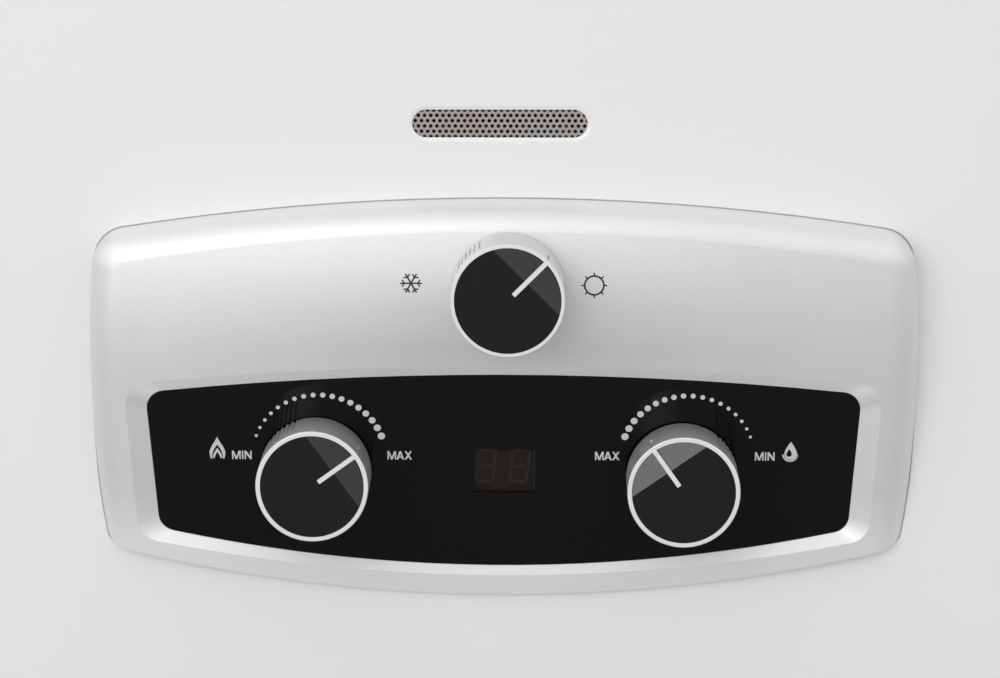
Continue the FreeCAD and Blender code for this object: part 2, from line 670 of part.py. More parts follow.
def pocket(grow, extra):
    """Flared recess for the dial panel, from its floor to past the bezel's skin."""
    floor = rounded_slab(insert_outline(0, INSERT_FIT + grow), INSERT_WALL + extra,
                         INSERT_CORNER + grow, INSERT_CORNER + grow)
    floor.translate(V(0, 0, -INSERT_WALL - extra))
    start = rounded_slab(insert_outline(0, INSERT_FIT + grow), 1,
                         INSERT_CORNER + grow, INSERT_CORNER + grow)
    end = rounded_slab(insert_outline(2, INSERT_FIT + grow), 1,
                       INSERT_CORNER + grow + POCKET_FLARE_TOP,
                       INSERT_CORNER + grow + POCKET_FLARE_TOP)
    wide = foot_wire(end)
    wide.translate(V(0, 0, 2 * POCKET_DEPTH))
    flare = Part.makeLoft([foot_wire(start), wide], True, True)
    return floor.fuse(flare)


def bezel_bosses():
    """Screw bosses behind the bezel's corners, in the bezel's own drawing frame."""
    return [Part.makeCylinder(SCREW_RADIUS * 2, CROWN_OUT, V(x, y, 0)) for x, y in boss_places()]


def boss_places():
    """Centres of the bezel's screw bosses from its foot."""
    side = BEZEL_WIDTH / 2 - BEZEL_ROLL - BEZEL_BOSS_ROOM - SCREW_RADIUS * 2
    high = BEZEL_HEIGHT - BEZEL_TOP_RISE - BEZEL_TOP_CORNER
    low = BEZEL_BOTTOM_RISE + 2 * SCREW_RADIUS
    return [(side, high), (-side, high), (side, low), (-side, low)]


def bezel_screw_lines():
    """Shanks of the screws that hold the bezel from inside the cover."""
    lines = []
    for x, y in boss_places():
        height = BEZEL_BOTTOM + y
        lines.append((V(x, FRONT + COVER_WALL, height), V(x, FRONT - BEZEL_EDGE, height)))
    return lines


def bezel_screws():
    screws = []
    for start, end in bezel_screw_lines():
        head = rod(SCREW_HEAD_RADIUS, start, start + Y_AXIS * SCREW_HEAD)
        screws.append(head.fuse(rod(SCREW_RADIUS, start, end)))
    return group(screws)


def panel_bezel():
    """Moulded bezel: thin crowned shell, flared recess with a floor, screw bosses."""
    shell = face_front(bezel_block(0).cut(bezel_block(BEZEL_WALL)), BEZEL_BOTTOM, 0)
    limit = face_front(bezel_block(0, CROWN_OUT), BEZEL_BOTTOM, 0)
    tub = face_front(pocket(BEZEL_WALL, BEZEL_WALL), DIAL_Z, INSERT_OUT, PANEL_TILT)
    recess = face_front(pocket(0, 0), DIAL_Z, INSERT_OUT, PANEL_TILT)
    bosses = [face_front(boss, BEZEL_BOTTOM, 0).common(limit) for boss in bezel_bosses()]
    body = shell.fuse([tub.common(limit)] + bosses).cut(recess)
    window = span(-DISPLAY_WIDTH / 2 - DISPLAY_FIT, DISPLAY_WIDTH / 2 + DISPLAY_FIT,
                  -DISPLAY_HEIGHT / 2 - DISPLAY_FIT, DISPLAY_HEIGHT / 2 + DISPLAY_FIT,
                  -4 * BEZEL_WALL, 0)
    window = face_front(window, DIAL_Z, INSERT_OUT, PANEL_TILT)
    screws = [rod(SCREW_RADIUS, start, end) for start, end in bezel_screw_lines()]
    holes = [spindle_hole(x, z, SPINDLE_HOLE_GAP) for x, z in knob_places()]
    return body.cut([window] + screws + holes).removeSplitter()


def knob_places():
    return ((GAS_X, GAS_Z), (WATER_X, WATER_Z), (SEASON_X, SEASON_Z))


def spindle_hole(x, z, gap):
    radius = SPINDLE_RADIUS + gap
    return rod(radius, V(x, FRONT + BEZEL_WALL, z), V(x, FRONT - CROWN_OUT - BEZEL_WALL, z))


def panel_insert():
    """Black dial panel, flush on the floor of the recess."""
    plate = rounded_slab(insert_outline(0, 0), INSERT_WALL, INSERT_CORNER, INSERT_CORNER)
    plate.translate(V(0, 0, -INSERT_WALL))
    plate = face_front(plate, DIAL_Z, INSERT_OUT, PANEL_TILT)
    return plate.cut([spindle_hole(x, z, SPINDLE_HOLE_GAP) for x, z in knob_places()[:2]])


def display_module():
    """Two-digit seven-segment block under the dial panel."""
    module = span(-DISPLAY_WIDTH / 2, DISPLAY_WIDTH / 2, -DISPLAY_HEIGHT / 2, DISPLAY_HEIGHT / 2,
                  -DISPLAY_THICK, 0)
    module.translate(V(0, 0, -INSERT_WALL - DISPLAY_FIT))
    return face_front(module, DIAL_Z, INSERT_OUT, PANEL_TILT)


def display_board():
    """Circuit board that carries the display."""
    half_wide = DISPLAY_WIDTH / 2 + DISPLAY_BOARD_MARGIN
    half_tall = DISPLAY_HEIGHT / 2 + DISPLAY_BOARD_MARGIN
    board = span(-half_wide, half_wide, -half_tall, half_tall, -BOARD_WALL, 0)
    board.translate(V(0, 0, -INSERT_WALL - DISPLAY_FIT - DISPLAY_THICK))
    posts = [Part.makeCylinder(SCREW_RADIUS, DISPLAY_THICK + DISPLAY_FIT - BEZEL_WALL,
                               V(x, y, -INSERT_WALL - DISPLAY_FIT - DISPLAY_THICK))
             for x in (-half_wide + 3, half_wide - 3) for y in (-half_tall + 3, half_tall - 3)]
    return face_front(join([board] + posts), DIAL_Z, INSERT_OUT, PANEL_TILT)


# ---- knobs ----------------------------------------------------------------
def knob_body(rim):
    """Knob with pointer rib, upright pointer, drawn with its back at z = 0."""
    body = Part.makeCylinder(KNOB_RADIUS, KNOB_LENGTH)
    front_edges = [edge for edge in body.Edges
                   if isinstance(edge.Curve, Part.Circle) and edge.Curve.Center.z > KNOB_LENGTH / 2]
    body = body.makeFillet(rim / 4, front_edges)
    hollow = Part.makeCylinder(KNOB_RADIUS - KNOB_WALL, web_back())
    recess = Part.makeCylinder(KNOB_RADIUS - rim, CAP_DEPTH, V(0, 0, KNOB_LENGTH - CAP_DEPTH))
    body = body.cut([hollow, recess])
    hub = Part.makeCylinder(HUB_RADIUS, web_back() - 1, V(0, 0, 1))
    rib = span(-POINTER_WIDTH / 2, POINTER_WIDTH / 2, POINTER_START, KNOB_RADIUS - rim / 2,
               KNOB_LENGTH - CAP_DEPTH, KNOB_LENGTH)
    body = join([body, hub, rib])
    return body.cut([spindle_core(SPINDLE_FIT, 0, web_back())] + grip_grooves())


def web_back():
    """Height of the web's back over the knob's back edge."""
    return KNOB_LENGTH - CAP_DEPTH - KNOB_WEB


def spindle_core(fit, low, high):
    """D-shaped bar of the spindle, its flat on the pointer's side."""
    core = Part.makeCylinder(SPINDLE_RADIUS + fit, high - low, V(0, 0, low))
    flat = span(-SPINDLE_RADIUS * 2, SPINDLE_RADIUS * 2, SPINDLE_RADIUS - SPINDLE_FLAT + fit,
                SPINDLE_RADIUS * 2, low, high)
    return core.cut(flat)


def grip_grooves():
    """Grip grooves up both sides of the knob, and the index groove beside the pointer."""
    index_top = KNOB_LENGTH - INDEX_SET_BACK
    runs = [(0.0, index_top - INDEX_LENGTH, index_top)]
    for side in (90.0, -90.0):
        for index in range(GRIP_GROOVES):
            angle = side + (index - (GRIP_GROOVES - 1) / 2) * GRIP_STEP
            runs.append((angle, -1.0, GRIP_LENGTH))
    grooves = []
    for angle, low, high in runs:
        cutter = span(-GRIP_WIDTH / 2, GRIP_WIDTH / 2, KNOB_RADIUS - GRIP_DEPTH, KNOB_RADIUS + 1,
                      low, high)
        cutter.rotate(V(), Z_AXIS, angle)
        grooves.append(cutter)
    return grooves


def knob_cap(rim):
    """Black face with a sloping facet and a slot for the pointer."""
    radius = KNOB_RADIUS - rim - CAP_FIT
    low = KNOB_LENGTH - CAP_DEPTH + CAP_FIT
    high = KNOB_LENGTH - CAP_SET_BACK
    disc = Part.makeCylinder(radius, high - low, V(0, 0, low))
    slot = span(-POINTER_WIDTH / 2 - CAP_FIT, POINTER_WIDTH / 2 + CAP_FIT, POINTER_START - CAP_FIT,
                KNOB_RADIUS, low - 1, high + 1)
    wedge = Part.Face(Part.makePolygon([V(-KNOB_RADIUS, FACET_START, high),
                                        V(-KNOB_RADIUS, radius, high - FACET_DROP),
                                        V(-KNOB_RADIUS, radius + 1, high - FACET_DROP),
                                        V(-KNOB_RADIUS, radius + 1, high + 1),
                                        V(-KNOB_RADIUS, FACET_START, high + 1),
                                        V(-KNOB_RADIUS, FACET_START, high)]))
    return disc.cut([slot, wedge.extrude(V(2 * KNOB_RADIUS, 0, 0))])


def place_knob(shape, x, z, out, angle):
    """Turn a knob piece clockwise, as seen from the front, and set it on the panel."""
    turned = shape.copy()
    turned.rotate(V(), Z_AXIS, -angle)
    placed = face_front(turned, z, out)
    placed.translate(V(x, 0, 0))
    return placed


def spindle(x, z, out, angle, back_y):
    """Spindle from the knob's web back into its valve, D-shaped at the knob."""
    front_y = FRONT - out - web_back() + SPINDLE_FIT
    flat_end = FRONT - out - 1
    reach = 2 * SPINDLE_RADIUS
    core = place_knob(spindle_core(0, 0, web_back() - SPINDLE_FIT), x, z, out, angle)
    core = core.common(span(x - reach, x + reach, front_y - reach, flat_end, z - reach, z + reach))
    bar = rod(SPINDLE_RADIUS, V(x, flat_end, z), V(x, back_y, z))
    return join([core, bar])


def gas_knob():
    return place_knob(knob_body(DIAL_RIM), GAS_X, GAS_Z, DIAL_KNOB_OUT, GAS_REST)


def gas_knob_cap():
    return place_knob(knob_cap(DIAL_RIM), GAS_X, GAS_Z, DIAL_KNOB_OUT, GAS_REST)


def gas_spindle():
    return spindle(GAS_X, GAS_Z, DIAL_KNOB_OUT, GAS_REST, boss_front() + BOSS_LENGTH)


def water_knob():
    return place_knob(knob_body(DIAL_RIM), WATER_X, WATER_Z, DIAL_KNOB_OUT, WATER_REST)


def water_knob_cap():
    return place_knob(knob_cap(DIAL_RIM), WATER_X, WATER_Z, DIAL_KNOB_OUT, WATER_REST)


def water_spindle():
    return spindle(WATER_X, WATER_Z, DIAL_KNOB_OUT, WATER_REST, boss_front() + BOSS_LENGTH)


def season_knob():
    return place_knob(knob_body(SEASON_RIM), SEASON_X, SEASON_Z, SEASON_KNOB_OUT, SEASON_REST)


def season_knob_cap():
    return place_knob(knob_cap(SEASON_RIM), SEASON_X, SEASON_Z, SEASON_KNOB_OUT, SEASON_REST)


def season_spindle():
    return spindle(SEASON_X, SEASON_Z, SEASON_KNOB_OUT, SEASON_REST, MANIFOLD_Y - SPINDLE_RADIUS / 2)


def boss_front():
    """Front face of the dial valves' spindle bosses."""
    return VALVE_Y - VALVE_SIZE / 2 - BOSS_LENGTH


# ---- flue -----------------------------------------------------------------
def rectangle(half_x, y_middle, half_y, z):
    """Closed rectangular wire in a level plane."""
    corners = [V(-half_x, y_middle - half_y, z), V(half_x, y_middle - half_y, z),
               V(half_x, y_middle + half_y, z), V(-half_x, y_middle + half_y, z)]
    return Part.makePolygon(corners + corners[:1])


def hood_block(inset):
    """Tapered hood and straight throat as a full solid."""
    half_wide, half_deep = FLUE_WIDTH / 2 - inset, FLUE_DEPTH / 2 - inset
    foot = rectangle(JACKET_WIDTH / 2 - inset, JACKET_Y, JACKET_DEPTH / 2 - inset, JACKET_TOP)
    neck = rectangle(half_wide, FLUE_Y, half_deep, throat_foot())
    taper = Part.makeLoft([foot, neck], True, True)
    throat = span(-half_wide, half_wide, FLUE_Y - half_deep, FLUE_Y + half_deep,
                  throat_foot(), CASING_TOP + FLUE_RISE)
    return taper.fuse(throat)


def throat_foot():
    """Height where the hood's taper ends."""
    return (JACKET_TOP + CASING_TOP) / 2


def flue_hood():
    return hood_block(0).cut(hood_block(FLUE_WALL)).removeSplitter()


def rain_cap():
    top = CASING_TOP + CAP_UNDER + CAP_WALL
    half_wide, half_deep = CAP_WIDTH / 2, CAP_DEPTH_Y / 2
    skin = block(-half_wide, half_wide, FLUE_Y - half_deep, FLUE_Y + half_deep, top - CAP_LIP, top,
                 CAP_CORNER)
    rim = [edge for edge in skin.Edges if abs(edge.BoundBox.ZMin - top) < NEAR]
    skin = skin.makeFillet(2 * CAP_WALL, rim)
    hollow = block(-half_wide + CAP_WALL, half_wide - CAP_WALL, FLUE_Y - half_deep + CAP_WALL,
                   FLUE_Y + half_deep - CAP_WALL, top - CAP_LIP - 1, top - CAP_WALL,
                   CAP_CORNER - CAP_WALL)
    return skin.cut(hollow)


def cap_posts():
    posts = []
    for x in (-CAP_WIDTH / 2 + POST_INSET, CAP_WIDTH / 2 - POST_INSET):
        for y in (FLUE_Y - CAP_DEPTH_Y / 2 + POST_INSET, FLUE_Y + CAP_DEPTH_Y / 2 - POST_INSET):
            posts.append(rod(POST_RADIUS, V(x, y, CASING_TOP), V(x, y, CASING_TOP + CAP_UNDER)))
    return group(posts)


# ---- carrying bail --------------------------------------------------------
def bail_height():
    return CASING_TOP + BAIL_RISE


def bail_lugs():
    """Pivot lugs for the bail, each with a foot and a rest under the folded arm."""
    lugs = []
    height = bail_height()
    inner = BAIL_SPAN / 2 + BAIL_BEND * 0.6 + 2
    stop_top = height - BAIL_RADIUS - BAIL_STOP_GAP
    for side in (-1, 1):
        plate = block(inner, inner + LUG_WIDTH, BAIL_Y - LUG_RADIUS, BAIL_Y + LUG_RADIUS, CASING_TOP,
                      height + LUG_RADIUS, LUG_RADIUS * 0.9, X_AXIS)
        base = span(inner, inner + LUG_WIDTH, BAIL_Y - LUG_RADIUS, BAIL_Y + LUG_RADIUS,
                    CASING_TOP, height)
        foot = span(inner - LUG_RADIUS / 2, inner + LUG_WIDTH + LUG_RADIUS / 2,
                    BAIL_Y - 3 * LUG_RADIUS, BAIL_Y + 2 * LUG_RADIUS, CASING_TOP, CASING_TOP + 2)
        rest = span(BAIL_SPAN / 2 - BAIL_RADIUS, inner, BAIL_Y - 3 * LUG_RADIUS,
                    BAIL_Y - 2 * LUG_RADIUS, CASING_TOP, stop_top)
        lug = join([plate, base, foot, rest])
        lug = lug.cut(rod(BAIL_RADIUS + BAIL_FIT, V(0, BAIL_Y, height), V(CASING_WIDTH, BAIL_Y, height)))
        if side < 0:
            lug = lug.mirror(V(), X_AXIS)
        lugs.append(lug)
    return group(lugs)


def carry_bail():
    """Bent rod folded flat over the front edge of the casing's top."""
    height = bail_height()
    half = BAIL_SPAN / 2
    out = half + BAIL_PIN + BAIL_BEND * 0.6
    front = BAIL_Y - BAIL_ARM
    points = [V(-out, BAIL_Y, height), V(-half, BAIL_Y, height), V(-half, front, height),
              V(half, front, height), V(half, BAIL_Y, height), V(out, BAIL_Y, height)]
    return sweep_round(points, BAIL_BEND * 0.6, BAIL_RADIUS)


def bail_grip():
    front = BAIL_Y - BAIL_ARM
    start = V(-GRIP_SPAN / 2, front, bail_height())
    end = V(GRIP_SPAN / 2, front, bail_height())
    sleeve = rod(GRIP_RADIUS, start, end)
    rims = [edge for edge in sleeve.Edges if isinstance(edge.Curve, Part.Circle)]
    sleeve = sleeve.makeFillet(GRIP_RADIUS * 0.35, rims)
    return sleeve.cut(rod(BAIL_RADIUS + BAIL_FIT, start, end))


# ---- exchanger ------------------------------------------------------------
def core_height():
    return JACKET_TOP - FIN_DROP - FIN_HEIGHT / 2


def core_rows():
    """Depths of the straight tubes, from the back to the front."""
    return [JACKET_Y - (index - (CORE_PASSES - 1) / 2) * CORE_PITCH for index in range(CORE_PASSES)]


def jacket_block(inset, top, low):
    half_wide, half_deep = JACKET_WIDTH / 2 - inset, JACKET_DEPTH / 2 - inset
    return block(-half_wide, half_wide, JACKET_Y - half_deep, JACKET_Y + half_deep, low, top,
                 PIPE_RADIUS - inset)


def exchanger_jacket():
    """Open copper shaft round the flames, bored for the finned tubes."""
    shell = jacket_block(0, JACKET_TOP, JACKET_BOTTOM)
    shell = shell.cut(jacket_block(JACKET_WALL, JACKET_TOP + 1, JACKET_BOTTOM - 1))
    bores = [rod(CORE_RADIUS + 0.1, V(-JACKET_WIDTH, y, core_height()), V(JACKET_WIDTH, y, core_height()))
             for y in core_rows()]
    return shell.cut(bores)


def core_end():
    """How far the tubes reach past the jacket's middle."""
    return JACKET_WIDTH / 2 + PIPE_BEND + 2


def exchanger_tubes():
    """One serpentine tube through the fins, in at the back and out at the front."""
    z = core_height()
    reach = JACKET_WIDTH / 2 + CORE_PITCH / 2 + 3
    rows = core_rows()
    points = [V(-core_end(), rows[0], z)]
    side = 1
    for row, following in zip(rows, rows[1:]):
        points += [V(side * reach, row, z), V(side * reach, following, z)]
        side = -side
    points.append(V(-core_end(), rows[-1], z))
    return sweep_round(points, CORE_PITCH / 2 - 0.001, CORE_RADIUS)


def exchanger_fins():
    fins = []
    z = core_height()
    half_deep = JACKET_DEPTH / 2 - JACKET_WALL - PIPE_GAP
    bores = [rod(CORE_RADIUS + 0.05, V(-JACKET_WIDTH, y, z), V(JACKET_WIDTH, y, z)) for y in core_rows()]
    pitch = (JACKET_WIDTH - 2 * PIPE_RADIUS) / FIN_COUNT
    for index in range(FIN_COUNT):
        x = (index - (FIN_COUNT - 1) / 2) * pitch
        fin = span(x - FIN_WALL / 2, x + FIN_WALL / 2, JACKET_Y - half_deep, JACKET_Y + half_deep,
                   z - FIN_HEIGHT / 2, z + FIN_HEIGHT / 2)
        fins.append(fin.cut(bores))
    return group(fins)


def chamber_brackets():
    """Bent straps that carry the jacket on the back plate."""
    straps = []
    back = JACKET_Y + JACKET_DEPTH / 2
    for x in (-JACKET_WIDTH / 4, JACKET_WIDTH / 4):
        for z in (JACKET_TOP - FIN_HEIGHT * 1.4, JACKET_BOTTOM + PIPE_RADIUS * 3):
            web = span(x - 8, x + 8, back, -BACK_WALL, z - BACK_WALL / 2, z + BACK_WALL / 2)
            wall_foot = span(x - 8, x + 8, -2 * BACK_WALL, -BACK_WALL, z, z + 12)
            jacket_foot = span(x - 8, x + 8, back, back + BACK_WALL, z - 12, z)
            straps.append(join([web, wall_foot, jacket_foot]))
    return group(straps)


def coil_reach():
    """Distance from the jacket's skin to the centre line of its coil."""
    return PIPE_RADIUS + PIPE_GAP


def coil_x():
    return JACKET_WIDTH / 2 + coil_reach()


def exchanger_coil():
    """Water pipe wound twice round the jacket, then up to the finned tubes."""
    x = coil_x()
    front = JACKET_Y - JACKET_DEPTH / 2 - coil_reach()
    back = JACKET_Y + JACKET_DEPTH / 2 + coil_reach()
    step = back - 2.2 * PIPE_BEND
    side = -core_end() - PIPE_BEND - 1
    row = core_rows()[0]
    points = [V(x, VALVE_Y, COIL_LOW - 2 * PIPE_BEND), V(x, VALVE_Y, COIL_LOW), V(x, front, COIL_LOW),
              V(-x, front, COIL_LOW), V(-x, back, COIL_LOW), V(x, back, COIL_LOW),
              V(x, step, COIL_LOW), V(x, step, COIL_HIGH), V(x, front, COIL_HIGH),
              V(side, front, COIL_HIGH), V(side, row, COIL_HIGH), V(side, row, core_height()),
              V(-core_end(), row, core_height())]
    return bent_pipe(points)


def riser_pipe():
    """Cold water from the water valve up to the coil."""
    x = coil_x()
    level = valve_top() + 2 * PIPE_BEND
    return bent_pipe([V(riser_foot(), VALVE_Y, valve_top()), V(riser_foot(), VALVE_Y, level),
                      V(x, VALVE_Y, level), V(x, VALVE_Y, COIL_LOW - 2 * PIPE_BEND)])


def riser_foot():
    return WATER_X + VALVE_SIZE / 4


def hot_outlet_pipe():
    """Hot water from the finned tubes down the left side to its fitting."""
    row = core_rows()[-1]
    level = fitting_top() + 2 * PIPE_BEND
    return bent_pipe([V(-core_end(), row, core_height()), V(HOT_X, row, core_height()),
                      V(HOT_X, row, level), V(HOT_X, VALVE_Y, level), V(HOT_X, VALVE_Y, fitting_top())])


def fitting_top():
    """Top of the hot outlet's nipple."""
    return FLOOR_Z + VALVE_SIZE * 0.7


def strap_on_outlet(height, tall):
    """Strap round the hot outlet pipe."""
    row = core_rows()[-1]
    return ring(PIPE_RADIUS + 1.5, PIPE_RADIUS + 0.05, V(HOT_X, row, height - tall / 2),
                V(HOT_X, row, height + tall / 2))


def thermal_cutout():
    """Overheat switch strapped to the hot pipe."""
    row = core_rows()[-1]
    seat = row - PIPE_RADIUS - 1
    disc = rod(PIPE_RADIUS + 2, V(HOT_X, seat, COIL_LOW), V(HOT_X, seat - PIPE_RADIUS, COIL_LOW))
    return join([strap_on_outlet(COIL_LOW, 2 * PIPE_RADIUS), disc])


def temperature_sensor():
    """Small probe strapped to the hot pipe, for the display."""
    row = core_rows()[-1]
    seat = row - PIPE_RADIUS - PROBE_RADIUS
    probe = rod(PROBE_RADIUS, V(HOT_X, seat, SEASON_Z - PROBE_LENGTH / 2),
                V(HOT_X, seat, SEASON_Z + PROBE_LENGTH / 2))
    return join([strap_on_outlet(SEASON_Z, PIPE_RADIUS), probe])


# ---- burner ---------------------------------------------------------------
def burner_places():
    return [(index - (BURNER_COUNT - 1) / 2) * BURNER_PITCH for index in range(BURNER_COUNT)]


def burner_bar(x):
    """Pressed burner with a gas inlet at the front foot and flame ports on top."""
    low = BURNER_LOW
    inlet = SEASON_Z
    mouth = NOZZLE_RADIUS * 2
    front = BURNER_FRONT
    corners = [(front, inlet - mouth), (front, inlet + mouth), (front + 2 * mouth, inlet + mouth),
               (front + mouth, BURNER_TOP - 2 * mouth), (front + mouth, BURNER_TOP),
               (BURNER_BACK, BURNER_TOP), (BURNER_BACK, low + 2 * mouth),
               (BURNER_BACK - 2 * mouth, low), (front + 3 * mouth, low)]
    left = x - BURNER_WALL / 2
    outline = [V(left, y, z) for y, z in corners]
    bar = Part.Face(Part.makePolygon(outline + outline[:1])).extrude(V(BURNER_WALL, 0, 0))
    cuts = [rod(mouth * BURNER_FILL, V(x, front - 1, inlet), V(x, front + 2 * mouth, inlet))]
    run = BURNER_BACK - front - mouth
    for port in range(BURNER_PORTS):
        y = front + mouth + (port + 0.5) * run / BURNER_PORTS
        cuts.append(span(x - BURNER_WALL / 3, x + BURNER_WALL / 3, y - 2, y + 2,
                         BURNER_TOP - mouth, BURNER_TOP + 1))
    return bar.cut(cuts)


def burner_bars():
    return group([burner_bar(x) for x in burner_places()])


def frame_half():
    """Inner half width of the burner frame."""
    return (BURNER_COUNT - 1) * BURNER_PITCH / 2 + BURNER_WALL / 2 + PIPE_GAP


def burner_frame():
    """Sheet frame round the burners, on the back plate, with arms to the manifold."""
    half = frame_half()
    wall = 1.5
    mouth = NOZZLE_RADIUS * 2
    low, high = BURNER_TOP - 4 * mouth, BURNER_TOP - 2 * mouth
    front, back = BURNER_FRONT + mouth - PIPE_GAP, BURNER_BACK + PIPE_GAP
    outer = span(-half - wall, half + wall, front - wall, back + wall, low, high)
    outer = outer.cut(span(-half, half, front, back, low - 1, high + 1))
    arms = []
    for side in (-1, 1):
        x0, x1 = sorted((side * half, side * (half + wall)))
        arms.append(span(x0, x1, manifold_back(), front, SEASON_Z - MANIFOLD_SIZE / 2, high))
        x0, x1 = sorted((side * half, side * (half - 12)))
        arms.append(span(x0, x1, back, -BACK_WALL, low, low + wall))
    shelf = span(-half, half, front, back, low, low + wall)
    seats = [span(x - BURNER_WALL / 2 - PIPE_GAP, x + BURNER_WALL / 2 + PIPE_GAP, front - 1, back + 1,
                  low - 1, low + 2 * wall) for x in burner_places()]
    return join([outer] + arms + [shelf.cut(seats)])


def manifold_back():
    return MANIFOLD_Y + MANIFOLD_SIZE / 2


def gas_manifold():
    """Hollow bar with the season valve's boss in front and nozzle bores behind."""
    half = frame_half() + 4
    size = MANIFOLD_SIZE / 2
    bar = block(-half, half, MANIFOLD_Y - size, MANIFOLD_Y + size, SEASON_Z - size, SEASON_Z + size,
                2, X_AXIS)
    boss = rod(SPINDLE_RADIUS + 4, V(SEASON_X, MANIFOLD_Y - size - 4, SEASON_Z),
               V(SEASON_X, MANIFOLD_Y, SEASON_Z))
    channel = span(-half + 4, half - 4, MANIFOLD_Y - size + 4, MANIFOLD_Y + size - 4,
                   SEASON_Z - size + 4, SEASON_Z + size - 4)
    bore = rod(SPINDLE_RADIUS + SPINDLE_FIT, V(SEASON_X, MANIFOLD_Y - 2 * size, SEASON_Z),
               V(SEASON_X, MANIFOLD_Y, SEASON_Z))
    feed = rod(PIPE_BORE, V(GAS_X, MANIFOLD_Y, SEASON_Z - 2 * size), V(GAS_X, MANIFOLD_Y, SEASON_Z))
    jets = [rod(1.0, V(x, MANIFOLD_Y, SEASON_Z), V(x, manifold_back() + 1, SEASON_Z))
            for x in burner_places()]
    return join([bar, boss]).cut([channel, bore, feed] + jets)


def gas_nozzles():
    back = manifold_back()
    return group([ring(NOZZLE_RADIUS, 1.0, V(x, back, SEASON_Z), V(x, back + NOZZLE_LENGTH, SEASON_Z))
                  for x in burner_places()])


def electrode(x):
    """Ceramic rod on the burner frame with a wire bent over the flame ports."""
    mouth = NOZZLE_RADIUS * 2
    rail = BURNER_FRONT + mouth - PIPE_GAP - 1.5
    y = rail - 3.0
    low, high = BURNER_TOP - 4 * mouth, BURNER_TOP
    ceramic = rod(3.0, V(x, y, low - 4), V(x, y, high))
    collar = span(x - 5, x + 5, y - 4, rail, low + 4, high - 2 * mouth - 2)
    wire = sweep_round([V(x, y, high - 1), V(x, y, high + 10), V(x, y + 14, high + 10)], 3, 0.8)
    return join([ceramic, collar, wire])


def spark_electrode():
    return electrode(-BURNER_PITCH)


def flame_sensor():
    return electrode(BURNER_PITCH)


# ---- gas and water valves -------------------------------------------------
def valve_top():
    return VALVE_Z + VALVE_SIZE / 2


def valve_low():
    return VALVE_Z - VALVE_SIZE / 2


def valve_block(x0, x1):
    half = VALVE_SIZE / 2
    return block(x0, x1, VALVE_Y - half, VALVE_Y + half, valve_low(), valve_top(), VALVE_ROUND)


def spindle_boss(x, z):
    return rod(BOSS_RADIUS, V(x, boss_front(), z), V(x, VALVE_Y, z))


def spindle_bore(x, z):
    return rod(SPINDLE_RADIUS + SPINDLE_FIT, V(x, boss_front() - 1, z),
               V(x, boss_front() + BOSS_LENGTH + 2, z))


def gas_right():
    """Right face of the gas valve."""
    return GAS_X + VALVE_SIZE / 2


def gas_valve_body():
    left, right = GAS_X - VALVE_SIZE / 2, gas_right()
    body = join([valve_block(left, right), spindle_boss(GAS_X, GAS_Z)])
    push_bore = rod(ROD_RADIUS + ROD_FIT, V(right - ROD_SEAT - ROD_TRAVEL - 2, VALVE_Y, VALVE_Z),
                    V(right + 1, VALVE_Y, VALVE_Z))
    inlet = rod(THREAD_BORE, V(GAS_X, VALVE_Y, valve_low() - 1), V(GAS_X, VALVE_Y, valve_low() + 12))
    outlet = rod(PIPE_BORE, V(GAS_X, feed_y(), valve_top() - 12), V(GAS_X, feed_y(), valve_top() + 1))
    return body.cut([spindle_bore(GAS_X, GAS_Z), push_bore, inlet, outlet])


def feed_y():
    return VALVE_Y - VALVE_SIZE / 4


def gas_feed_tube():
    """Gas from the valve, under the burners, up into the manifold."""
    top = SEASON_Z - MANIFOLD_SIZE / 2
    level = (valve_top() + top) / 2
    return bent_pipe([V(GAS_X, feed_y(), valve_top()), V(GAS_X, feed_y(), level),
                      V(GAS_X, MANIFOLD_Y, level), V(GAS_X, MANIFOLD_Y, top)])


def solenoid_valve():
    """Flame-safety solenoid on the left of the gas valve."""
    left = GAS_X - VALVE_SIZE / 2
    neck = rod(8, V(left, VALVE_Y, VALVE_Z), V(left - 6, VALVE_Y, VALVE_Z))
    can = rod(12, V(left - 6, VALVE_Y, VALVE_Z), V(left - 34, VALVE_Y, VALVE_Z))
    tabs = [span(left - 40, left - 34, VALVE_Y + y - 0.4, VALVE_Y + y + 0.4, VALVE_Z - 2.4, VALVE_Z + 2.4)
            for y in (-5, 5)]
    return join([neck, can] + tabs)


def hexagon(flats, x, y, z0, z1):
    """Upright hexagonal bar."""
    radius = flats / sqrt(3)
    points = [V(x + radius * cos(k * pi / 3), y + radius * sin(k * pi / 3), z0) for k in range(6)]
    return Part.Face(Part.makePolygon(points + points[:1])).extrude(V(0, 0, z1 - z0))


def fitting(x, top, top_bore):
    """Nipple through the bottom plate with its hexagon and threaded end below."""
    low = FLOOR_UNDER - NUT_LENGTH - THREAD_LENGTH
    stem = rod(THREAD_RADIUS - 0.5, V(x, VALVE_Y, FLOOR_UNDER - 1), V(x, VALVE_Y, top))
    nut = hexagon(NUT_FLATS, x, VALVE_Y, FLOOR_UNDER - NUT_LENGTH, FLOOR_UNDER)
    thread = rod(THREAD_RADIUS, V(x, VALVE_Y, low), V(x, VALVE_Y, FLOOR_UNDER - NUT_LENGTH))
    bore = rod(THREAD_BORE, V(x, VALVE_Y, low - 1), V(x, VALVE_Y, top - 6))
    neck = rod(top_bore, V(x, VALVE_Y, low - 1), V(x, VALVE_Y, top + 1))
    return join([stem, nut, thread]).cut([bore, neck])


def gas_inlet_fitting():
    return fitting(GAS_X, valve_low(), THREAD_BORE)


def cold_inlet_fitting():
    return fitting(WATER_X, valve_low(), THREAD_BORE)


def hot_outlet_fitting():
    return fitting(HOT_X, fitting_top(), PIPE_BORE)


